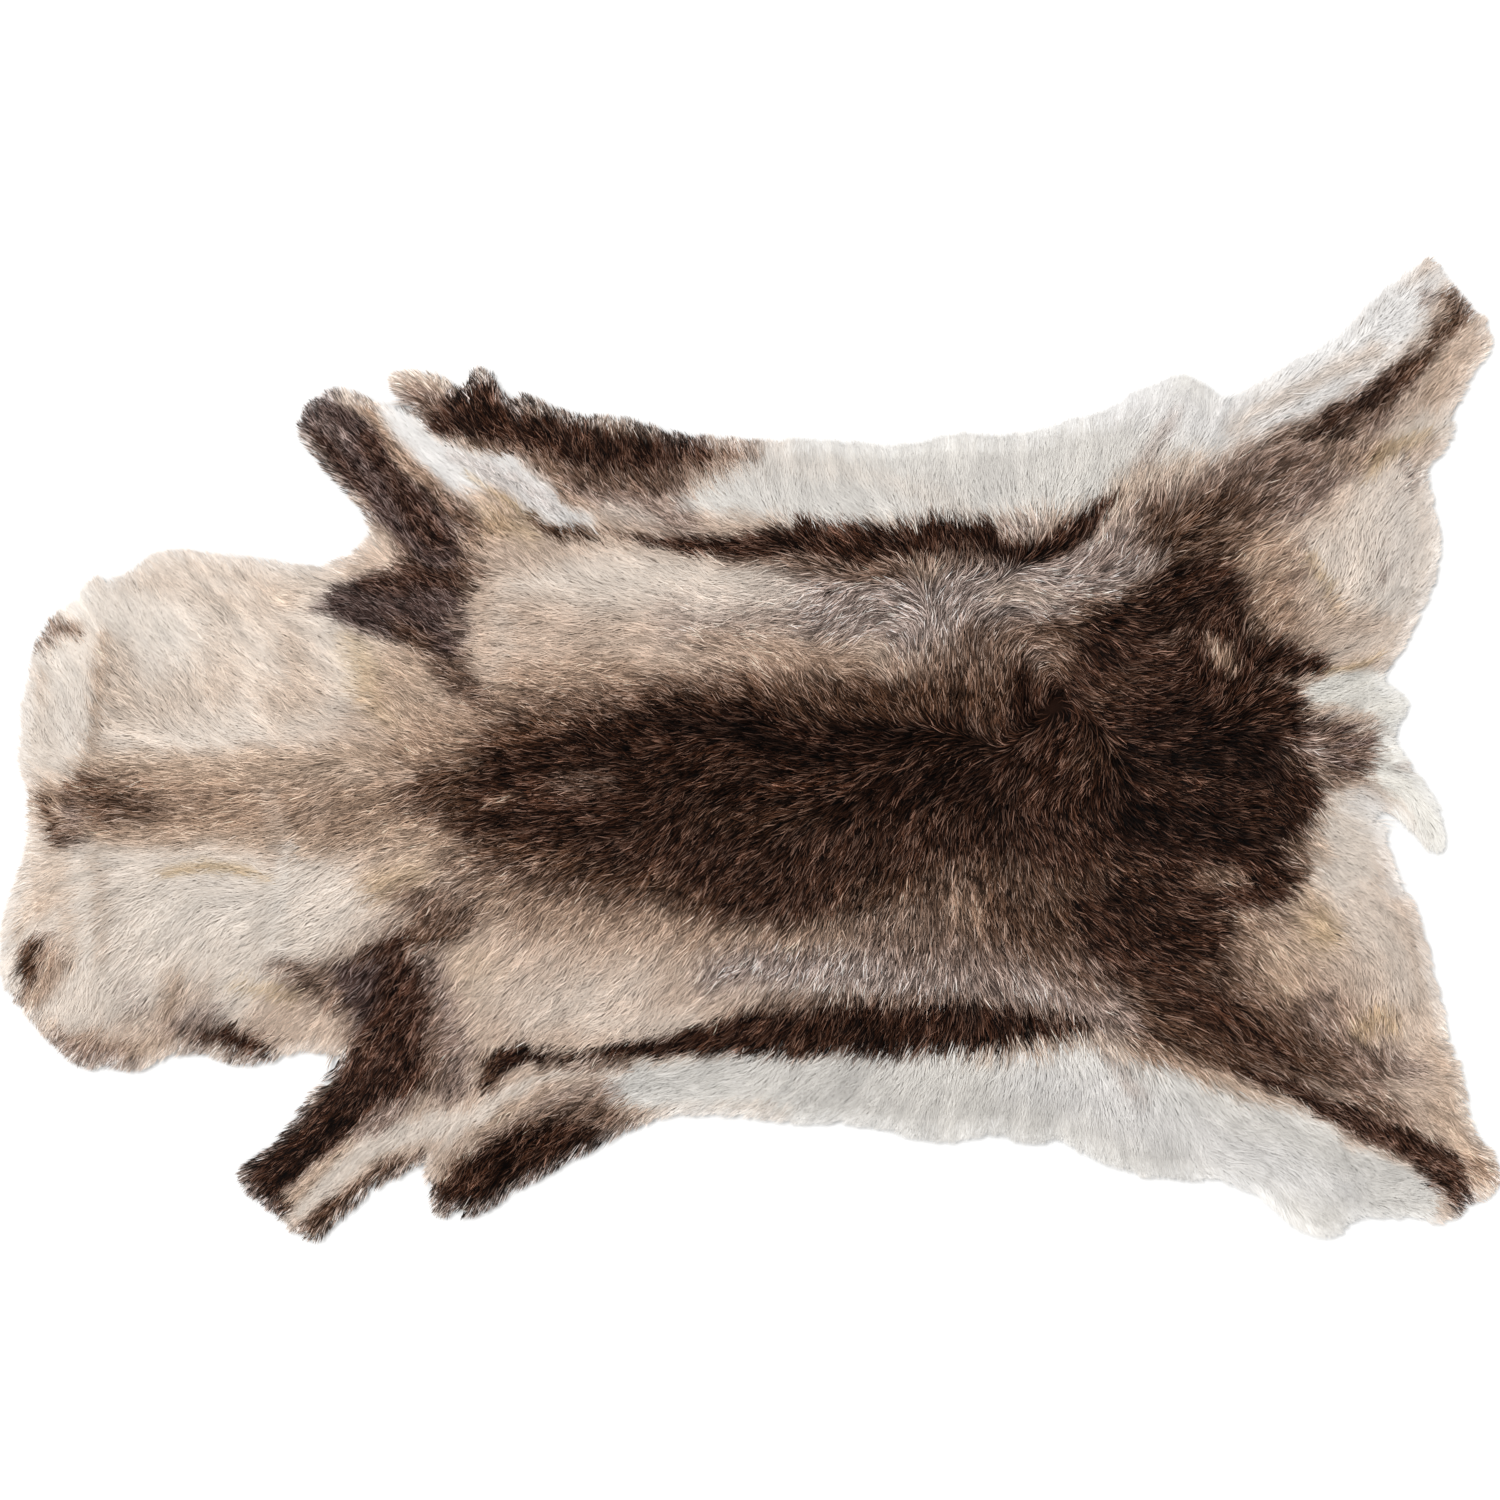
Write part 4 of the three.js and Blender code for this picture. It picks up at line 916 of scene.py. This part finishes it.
def makeUnderwool(points, corners):
    # a closed layer from just inside the skin's top to the wool's top, with tufts as noise
    points = drawnIn(points, underwool["inset"], underwool["zone"])
    tuft, size = underwool["tufts"]
    tufts = tuft * mm * noise(*points.T, size * mm, seeds["tufts"])
    tufts *= ease(readMap(rimDistance, *points.T) / (underwool["tuftSlope"] * mm))
    low = skinTopAt(*points.T) - underwool["sunk"] * mm
    high = np.maximum(woolTopAt(*points.T) + tufts, low + underwool["least"] * mm)
    made = closedSheet("underwool", points, corners, low, high)
    tone = readMap(coatMap, *points.T)[:, :3]
    # painted shade: the wool darker than the hair over it, less so where the coat is pale
    tone *= underwool["shade"][0] + underwool["shade"][1] * tone.mean(1, keepdims=True)
    colourPoints(made, np.concatenate([tone, tone * underwool["foot"]]))
    return made


net = splitNet(*undersideNet(hideCorners))
skin, skinArea = makeSkin(*net)
wool = makeUnderwool(*net)
print("skin and underwool made,", round(skinArea, 4), "square metres of skin")


hair = {
    "pieces": ("neckHair", "shoulderHair", "ribHair", "loinHair", "rumpHair"),
    "spacing": 1.31,       # mm between roots
    "firstRow": 1.0,       # mm from the outline to the outermost roots
    "notch": 6.0,          # mm more between some locks of dark hair
    "width": 0.9,          # mm at the widest place
    "widths": (0.7, 1.3),  # least and most of that from hair to hair
    "lengths": (7, 34),    # mm, least and most
    "uneven": (0.08, 0.10, 0.10),   # how much the length varies by lock, by wisp and by hair
    "lock": 10.0,          # mm across a lock of hair
    "wisp": 3.4,           # mm across a wisp, of which a lock has several
    "pull": 0.22,          # how far a tip leans to the middle of its lock
    "wispPull": 0.5,       # and to the middle of its wisp
    "middlePull": 0.45,    # part of that lean which the middle of a hair takes
    "sleek": (1.25, 0.95, 0.35),    # part of that lean, what a pale coat takes off it, and its least
    "waves": (26, 9),      # mm, sizes of the waves in the lie
    "waveTurns": (9, 9),   # degrees, how far they turn it
    "turns": (4, 6),       # degrees that a lock and a wisp turn it
    "stray": 7,            # degrees that one hair strays
    "bend": 8,             # degrees that its outer half strays from its inner half
    "roll": 42,            # degrees that a hair rolls on its own line
    "rimZone": 16,         # mm in which hair turns outwards
    "outward": (0.75, 1.6),         # how far it turns there, and at most
    "spill": 2.6,          # mm that tips may pass the outline, more in some wisps and less in others
    "ragged": (0.2, 0.8, 0.7, 2.2),  # part of that: its least, what wisp and lock add, and its limit
    "leastKept": 0.15,     # part of a hair that is left where it would pass the outline
    "rootDepth": 0.55,     # where in the wool a root is: 0 at the skin, 1 at the wool's top
    "lift": (1.03, 0.31, 0.21),     # height of tips in the coat: most, variation, less of it where pale
    "arch": (0.62, 0.98),  # height of a hair's middle between root and tip
    "clear": (0.8, 0.4),   # mm, least height of tips, and of middles above the wool
}
# cells after which locks repeat; the others are parts of a lock's size: how far its edges sway,
# how wide those sways are, and how far its middle is moved
locks = {"cells": 256, "sway": 0.3, "swaySize": 0.8, "scatter": 0.22}
# notches: a coat is dark by the first less the slope times its lightness, and a lock is notched by
# how much it is shorter than the given one, up to the most
darkRim = {"from": 1.3, "slope": 2, "shortest": 0.4, "most": 1.3}


def hairRoots():
    # a grid of rows, every other one shifted by half, each root moved at random inside its own cell;
    # dark coats have notches at the rim, as deep as some locks are short
    rng = np.random.default_rng(seeds["roots"])
    gap = hair["spacing"] * mm
    x, y = np.meshgrid(*(np.arange(cadBox[0][k], cadBox[1][k], gap) for k in (0, 1)))
    x[1::2] += gap / 2
    x = (x + rng.uniform(-0.5, 0.5, x.shape) * gap).ravel()
    y = (y + rng.uniform(-0.5, 0.5, y.shape) * gap).ravel()
    dark = np.clip(darkRim["from"] - darkRim["slope"] * lightness(x, y), 0, 1)
    lockLength = hairLocks(x, y, hair["lock"] * mm, seeds["lock"])[3]
    notch = dark * np.clip(-darkRim["shortest"] - lockLength, 0, darkRim["most"])
    on = readMap(rimDistance, x, y) > (hair["firstRow"] + hair["notch"] * notch) * mm
    return x[on], y[on]


def hairLocks(x, y, size, seed):
    # the lock of each root: a cell of a shifted square lattice read at noise-moved places, with its
    # own middle and its own random turn, tone and length
    sway, swaySize, cells = locks["sway"] * size, locks["swaySize"] * size, locks["cells"]
    u = (x + sway * noise(x, y, swaySize, seed)) / size
    v = (y + sway * noise(x, y, swaySize, seed + 1)) / size
    j = np.floor(v).astype(int)
    i = np.floor(u + 0.5 * (j % 2)).astype(int)
    lots = np.random.default_rng(seed + 2).normal(0, 1, (cells, cells, 5))[j % cells, i % cells]
    middleX = (i + 0.5 - 0.5 * (j % 2) + locks["scatter"] * lots[:, 0]) * size
    middleY = (j + 0.5 + locks["scatter"] * lots[:, 1]) * size
    return np.stack([middleX, middleY], 1), *lots[:, 2:].T


def hairWay(x, y, turn, outward, distance):
    # the lie of the coat at a place, turned, and pushed outwards near the rim where it faces inwards
    way = readMap(lieMap, x, y)
    way = np.stack([way[:, 0] * np.cos(turn) - way[:, 1] * np.sin(turn),
                    way[:, 0] * np.sin(turn) + way[:, 1] * np.cos(turn)], 1)
    facing = (way * outward).sum(1)
    part, most = hair["outward"]
    push = np.clip(1 - distance / (hair["rimZone"] * mm), 0, 1) * np.clip(part - facing, 0, most)
    return unit(way + outward * push[:, None])


def hairLines(x, y, rng):
    # root, middle and tip of each hair: it sets out along the lie of the coat, turns with it half
    # way, leans to its lock's middle, turns outwards at the rim and ends near the outline
    count = len(x)
    lockMiddle, lockTurn, lockTone, lockLength = hairLocks(x, y, hair["lock"] * mm, seeds["lock"])
    wispMiddle, wispTurn, wispTone, wispLength = hairLocks(x, y, hair["wisp"] * mm, seeds["wisp"])
    byLock, byWisp, byHair = hair["uneven"]
    uneven = byLock * lockLength + byWisp * wispLength + byHair * rng.normal(0, 1, count)
    length = readMap(lengthMap, x, y) * (1 + uneven)
    length = np.clip(length, *np.array(hair["lengths"]) * mm)[:, None]
    turn = 0
    for angle, size, seed in zip(hair["waveTurns"], hair["waves"], seeds["waves"]):
        turn = turn + np.radians(angle) * noise(x, y, size * mm, seed)
    turn += np.radians(hair["turns"][0]) * lockTurn + np.radians(hair["turns"][1]) * wispTurn
    turn += np.radians(hair["stray"]) * rng.normal(0, 1, count)
    distance = readMap(rimDistance, x, y)
    outward = unit(-np.stack([readMap(rimX, x, y), readMap(rimY, x, y)], 1))

    root = np.stack([x, y], 1)
    middle = root + hairWay(x, y, turn, outward, distance) * (0.5 * length)
    bend = turn + np.radians(hair["bend"]) * rng.normal(0, 1, count)
    tip = middle + hairWay(*middle.T, bend, outward, distance) * (0.5 * length)
    part, pale, least = hair["sleek"]
    lean = hair["pull"] * (lockMiddle - root) + hair["wispPull"] * (wispMiddle - root)
    lean *= np.clip(part - pale * lightness(x, y), least, 1)[:, None]
    middle += hair["middlePull"] * lean
    tip += lean
    past = readMap(rimDistance, *tip.T)
    base, byWisp, byLock, limit = hair["ragged"]
    ragged = np.clip(base + rng.random(count) + byWisp * wispLength + byLock * lockLength, -limit, limit)
    spill = hair["spill"] * mm * ragged
    keep = np.where(past < -spill, (distance + spill) / np.maximum(distance - past, tiny), 1)
    keep = np.clip(keep, hair["leastKept"], 1)[:, None]
    return root, root + (middle - root) * keep, root + (tip - root) * keep, lockTone, wispTone


def hairHeights(root, middle, tip, rng):
    # a hair leaves the wool below its top, arches, and ends close to the coat's top
    most, variation, pale = hair["lift"]
    lift = most - (variation - pale * lightness(*root.T)) * rng.random(len(root))
    skinTop = skinTopAt(*root.T)
    rootZ = skinTop + hair["rootDepth"] * (woolTopAt(*root.T) - skinTop)
    under = skinTopAt(*tip.T)
    tipZ = under + (readMap(topMap, *tip.T) - under) * lift
    tipZ = np.maximum(tipZ, hair["clear"][0] * mm)
    middleZ = rootZ + rng.uniform(*hair["arch"], len(root)) * (tipZ - rootZ)
    middleZ = np.maximum(middleZ, woolTopAt(*middle.T) + hair["clear"][1] * mm)
    return rootZ, middleZ, tipZ


hairShades = {
    "seenAt": (0.45, 1.0),          # where along a hair its colour is read, least and most
    "facing": (0.26, 0.24),         # a hair's own facing in its shading, and less of it where pale
    "chance": (1.2, 0.28, 0.46),    # how much tones differ by hair, by lock and by wisp
    "limit": 2.2,                   # of that difference
    "level": 0.8,                   # what is taken off again, so that the mean tone stays
    "ends": (-1.15, -0.25, -0.25, 0.75),    # darker root, middle and lighter tip of mixed tones: partly the hair's own colour, partly painted shade in the coat and painted light on the tips
    "dull": (0.6, 0.42),            # colour that a hair paler than its place loses, and at most
}


def hairNormals(x, y, own, tone):
    # the slope of the coat's top at the root, and a part of the way that the hair itself faces
    slopeX = readMap(topMap, x + step, y) - readMap(topMap, x - step, y)
    slopeY = readMap(topMap, x, y + step) - readMap(topMap, x, y - step)
    ground = np.column_stack([-slopeX / (2 * step), -slopeY / (2 * step), np.ones(len(x))])
    part = hairShades["facing"][0] - hairShades["facing"][1] * tone[:, :3].mean(1, keepdims=True)
    return unit(ground * (1 - part) + unit(own) * part)


def hairColours(tone, lockTone, wispTone, rng):
    # the coat's tone, times one chance for the whole hair and times less at its root and more at its
    # tip, both by how mixed the tone is, partly the hair's own colour and partly painted shade at the
    # root and painted light at the tip; what comes out pale loses some colour
    differ, limit = tone[:, 3], hairShades["limit"]
    byHair, byLock, byWisp = hairShades["chance"]
    chance = byHair * rng.normal(0, 1, len(tone)) + byLock * lockTone + byWisp * wispTone
    single = np.exp(differ * limit * np.tanh(chance / limit) - hairShades["level"] * differ ** 2)
    shade = np.stack([1 + end * differ for end in hairShades["ends"]], 1)
    colours = tone[:, None, :3] * (single[:, None] * shade)[..., None]
    dull = np.clip(hairShades["dull"][0] * (single - 1), 0, hairShades["dull"][1])[:, None, None]
    colours += (colours.mean(2, keepdims=True) - colours) * dull
    return colours.reshape(-1, 3), single


bakeNet = {
    "patches": 60,         # along each side of the map
    "spread": 0.2,         # of a patch, how far a hair lies from its middle by its tone
    "edge": 0.08,          # of a patch, kept free on both sides
    "half": 0.06,          # of a patch, half the width of a hair, and what is free at its ends
    "leastMixed": 0.02,    # mixedness of a tone that the spread is divided by at least
}


def layBakeNet(blades, x, y, differ, single, triangles):
    # a UV map of square patches: a hair lies upright in the patch of its place in the piece, and the
    # further across the paler it is, so that hairs which share a texel look alike
    patches, edge, half = bakeNet["patches"], bakeNet["edge"], bakeNet["half"]
    cell = np.stack([np.floor((v - v.min()) / np.ptp(v) * (patches - 1)) for v in (x, y)], 1)
    middle = 0.5 + bakeNet["spread"] * np.log(single) / np.maximum(differ, bakeNet["leastMixed"])
    middle = np.clip(middle, edge, 1 - edge)
    across = np.stack([middle, middle - half, middle + half, middle], 1)
    upward = np.tile((half, 0.5, 0.5, 1 - half), (len(x), 1))
    flat = (cell[:, None, :] + np.stack([across, upward], 2)) / patches
    layer = blades.data.uv_layers.new(name="OFBake")
    layer.uv.foreach_set("vector", flat.reshape(-1, 2)[triangles.ravel()].astype(np.float32).ravel())


def hairBlades(name, x, y, seed):
    # each hair is a kite of four points: root, two at its widest, and tip, rolled on its own line;
    # its tone is the coat's a random way along it
    rng = np.random.default_rng(seed)
    count = len(x)
    root, middle, tip, lockTone, wispTone = hairLines(x, y, rng)
    rootZ, middleZ, tipZ = hairHeights(root, middle, tip, rng)
    way = unit(tip - root)
    roll = np.radians(hair["roll"]) * rng.uniform(-1, 1, count)
    half = hair["width"] * mm / 2 * rng.uniform(*hair["widths"], count)
    side = np.column_stack([-way[:, 1] * np.cos(roll), way[:, 0] * np.cos(roll), np.sin(roll)])
    side *= half[:, None]
    rootPlace = np.column_stack([root, rootZ])
    middlePlace = np.column_stack([middle, middleZ])
    tipPlace = np.column_stack([tip, tipZ])
    places = np.stack([rootPlace, middlePlace - side, middlePlace + side, tipPlace], 1).reshape(-1, 3)
    base = 4 * np.arange(count)[:, None]
    triangles = np.concatenate([base + (0, 1, 2), base + (1, 3, 2)])
    blades = newMesh(name, places, triangles)

    seen = root + (tip - root) * rng.uniform(*hairShades["seenAt"], count)[:, None]
    tone = readMap(coatMap, *seen.T)
    normals = hairNormals(x, y, np.cross(tipPlace - rootPlace, side), tone)
    blades.data.normals_split_custom_set_from_vertices(np.repeat(normals, 4, axis=0))
    colours, single = hairColours(tone, lockTone, wispTone, rng)
    colourPoints(blades, colours)
    layBakeNet(blades, x, y, tone[:, 3], single, triangles)
    return blades


rootX, rootY = hairRoots()
cuts = np.quantile(rootX, np.linspace(0, 1, len(hair["pieces"]) + 1))
cuts[-1] = np.inf
hairPieces = []
for k, name in enumerate(hair["pieces"]):
    own = (rootX >= cuts[k]) & (rootX < cuts[k + 1])
    hairPieces.append(hairBlades(name, rootX[own], rootY[own], seeds["hair"] + k))
    print(name, "made,", int(own.sum()), "hairs")


# finishes
def nodeGroup(name, inputs, outputs):
    # an empty shader node group with those sockets
    group = bpy.data.node_groups.new(name, "ShaderNodeTree")
    for socket, kind, value in inputs:
        made = group.interface.new_socket(name=socket, in_out="INPUT", socket_type="NodeSocket" + kind)
        made.default_value = value
    for socket, kind in outputs:
        group.interface.new_socket(name=socket, in_out="OUTPUT", socket_type="NodeSocket" + kind)
    return group, group.nodes.new("NodeGroupInput"), group.nodes.new("NodeGroupOutput")


def addNode(nodes, kind, values=None, operation=None):
    # a new node with its operation, and with values for some of its inputs, by name or by number
    made = nodes.new("ShaderNode" + kind)
    if operation:
        made.operation = operation
    for socket, value in (values or {}).items():
        made.inputs[socket].default_value = value
    return made


# detail and scale of its noises, and how much of them goes into the roughness
grainNoise = {"fineDetail": 3, "broadScale": 38, "broadDetail": 2, "roughPart": 0.25}


def makeFibreGroup():
    # fine and broad noise on Object coordinates, added and centred on nought: both vary a colour and
    # a roughness, and the fine one is the height
    group, entry, leave = nodeGroup("fibreGrain", [
        ("Colour", "Color", (0.5, 0.5, 0.5, 1)), ("Scale", "Float", 400.0), ("Amount", "Float", 0.2),
        ("Rough", "Float", 0.6),
    ], [("Colour", "Color"), ("Roughness", "Float"), ("Height", "Float")])
    nodes = group.nodes
    place = addNode(nodes, "TexCoord")
    fine = addNode(nodes, "TexNoise", {"Detail": grainNoise["fineDetail"]})
    broad = addNode(nodes, "TexNoise", {"Scale": grainNoise["broadScale"],
                                        "Detail": grainNoise["broadDetail"]})
    both = addNode(nodes, "Math", operation="ADD")
    centred = addNode(nodes, "Math", {1: 1.0}, operation="SUBTRACT")
    scaled = addNode(nodes, "Math", {2: 1.0}, operation="MULTIPLY_ADD")
    tint = addNode(nodes, "VectorMath", operation="SCALE")
    rough = addNode(nodes, "Math", {1: grainNoise["roughPart"]}, operation="MULTIPLY_ADD")
    rough.use_clamp = True
    for source, target in (
        (place.outputs["Object"], fine.inputs["Vector"]), (place.outputs["Object"], broad.inputs["Vector"]),
        (entry.outputs["Scale"], fine.inputs["Scale"]),
        (fine.outputs["Fac"], both.inputs[0]), (broad.outputs["Fac"], both.inputs[1]),
        (both.outputs[0], centred.inputs[0]),
        (centred.outputs[0], scaled.inputs[0]), (entry.outputs["Amount"], scaled.inputs[1]),
        (entry.outputs["Colour"], tint.inputs[0]), (scaled.outputs[0], tint.inputs["Scale"]),
        (centred.outputs[0], rough.inputs[0]), (entry.outputs["Rough"], rough.inputs[2]),
        (tint.outputs["Vector"], leave.inputs["Colour"]), (rough.outputs[0], leave.inputs["Roughness"]),
        (fine.outputs["Fac"], leave.inputs["Height"]),
    ):
        group.links.new(source, target)
    return group


fibreGrain = makeFibreGroup()
# bump in m, scales in waves per metre
finishes = {
    "hairFinish": {"grainScale": 520.0, "grain": 0.06, "rough": 0.64, "specular": 0.05},
    "woolFinish": {"grainScale": 900.0, "grain": 0.28, "rough": 0.85, "specular": 0.08,
                   "bump": 0.0012, "bumpStrength": 0.7},
    "suedeFinish": {"grainScale": 700.0, "grain": 0.22, "rough": 0.82, "specular": 0.15,
                    "bump": 0.0004, "bumpStrength": 0.6, "colour": (0.60, 0.52, 0.41),
                    "stain": (0.42, 0.33, 0.24), "cloudScale": 7, "cloudDetail": 5,
                    "cloudRange": (0.35, 0.62)},
}


def grainedFinish(name):
    # a material that the grain group gives its colour, roughness and, where it has a bump, its
    # relief; the group's own colour input is left to be linked
    values = finishes[name]
    material = bpy.data.materials.new(name)
    material.use_nodes = True
    nodes, links = material.node_tree.nodes, material.node_tree.links
    shader = nodes["Principled BSDF"]
    shader.inputs["Specular IOR Level"].default_value = values["specular"]
    grain = addNode(nodes, "Group")
    grain.node_tree = fibreGrain
    for socket, value in (("Scale", "grainScale"), ("Amount", "grain"), ("Rough", "rough")):
        grain.inputs[socket].default_value = values[value]
    links.new(grain.outputs["Colour"], shader.inputs["Base Color"])
    links.new(grain.outputs["Roughness"], shader.inputs["Roughness"])
    if "bump" in values:
        bump = addNode(nodes, "Bump", {"Distance": values["bump"], "Strength": values["bumpStrength"]})
        links.new(grain.outputs["Height"], bump.inputs["Height"])
        links.new(bump.outputs["Normal"], shader.inputs["Normal"])
    return material, nodes, links, grain.inputs["Colour"]


def coatFinish(name):
    # the coat's own colours with grain on them
    material, nodes, links, colour = grainedFinish(name)
    own = addNode(nodes, "Attribute")
    own.attribute_name = "coatColour"
    links.new(own.outputs["Color"], colour)
    return material


def suedeFinish(name):
    # pale suede with cloudy stains and a short nap
    values = finishes[name]
    material, nodes, links, colour = grainedFinish(name)
    place = addNode(nodes, "TexCoord")
    cloud = addNode(nodes, "TexNoise", {"Scale": values["cloudScale"], "Detail": values["cloudDetail"]})
    ramp = addNode(nodes, "ValToRGB")
    for k, tone in enumerate(("stain", "colour")):
        ramp.color_ramp.elements[k].position = values["cloudRange"][k]
        ramp.color_ramp.elements[k].color = (*values[tone], 1)
    links.new(place.outputs["Object"], cloud.inputs["Vector"])
    links.new(cloud.outputs["Fac"], ramp.inputs["Fac"])
    links.new(ramp.outputs["Color"], colour)
    return material


hairMaterial = coatFinish("hairFinish")
wool.data.materials.append(coatFinish("woolFinish"))
skin.data.materials.append(suedeFinish("suedeFinish"))
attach(skin, "root")
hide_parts("hide")
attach(wool, "root")
for piece in hairPieces:
    piece.data.materials.append(hairMaterial)
    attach(piece, "root")
print("finishes put on")


# floor, light and camera
stage = {
    "floorSize": 14,                        # m
    "floorColour": (0.93, 0.93, 0.925),
    "floorRough": 0.9, "floorSpecular": 0.1,
    "skyColour": (1, 1, 1), "skyStrength": 0.66,
    "keyFrom": (-0.42, 0.30, 1.0), "keyAngle": 30, "keyStrength": 2.15,      # angle in degrees
    "keyDistance": 4,                       # m
    "lens": 100, "sensor": 36,              # mm
    "cameraHeight": 3.625,                  # m
}
half = stage["floorSize"] / 2
floorMesh = bpy.data.meshes.new("floor")
floorMesh.from_pydata([(-half, -half, 0), (half, -half, 0), (half, half, 0), (-half, half, 0)],
                      [], [(0, 1, 2, 3)])
floor = bpy.data.objects.new("floor", floorMesh)
bpy.context.scene.collection.objects.link(floor)
floorFinish = bpy.data.materials.new("floorFinish")
floorFinish.use_nodes = True
floorShader = floorFinish.node_tree.nodes["Principled BSDF"]
floorShader.inputs["Base Color"].default_value = (*stage["floorColour"], 1)
floorShader.inputs["Roughness"].default_value = stage["floorRough"]
floorShader.inputs["Specular IOR Level"].default_value = stage["floorSpecular"]
floorMesh.materials.append(floorFinish)

world = bpy.data.worlds.new("studio")
bpy.context.scene.world = world
world.use_nodes = True
sky = world.node_tree.nodes["Background"]
sky.inputs["Color"].default_value = (*stage["skyColour"], 1)
sky.inputs["Strength"].default_value = stage["skyStrength"]
key = bpy.data.lights.new("key", "SUN")
key.angle = math.radians(stage["keyAngle"])
key.energy = stage["keyStrength"]
keyFrom = Vector(stage["keyFrom"])
keyObject = bpy.data.objects.new("key", key)
keyObject.location = keyFrom * stage["keyDistance"]
keyObject.rotation_euler = (-keyFrom).to_track_quat("-Z", "Y").to_euler()
bpy.context.scene.collection.objects.link(keyObject)

camera = bpy.data.cameras.new("camera")
camera.lens = stage["lens"]
camera.sensor_width = stage["sensor"]
cameraObject = bpy.data.objects.new("camera", camera)
cameraObject.location = (0, 0, stage["cameraHeight"])
bpy.context.scene.collection.objects.link(cameraObject)
bpy.context.scene.camera = cameraObject
bpy.context.scene.view_settings.view_transform = "Standard"
print("floor, light and camera set")
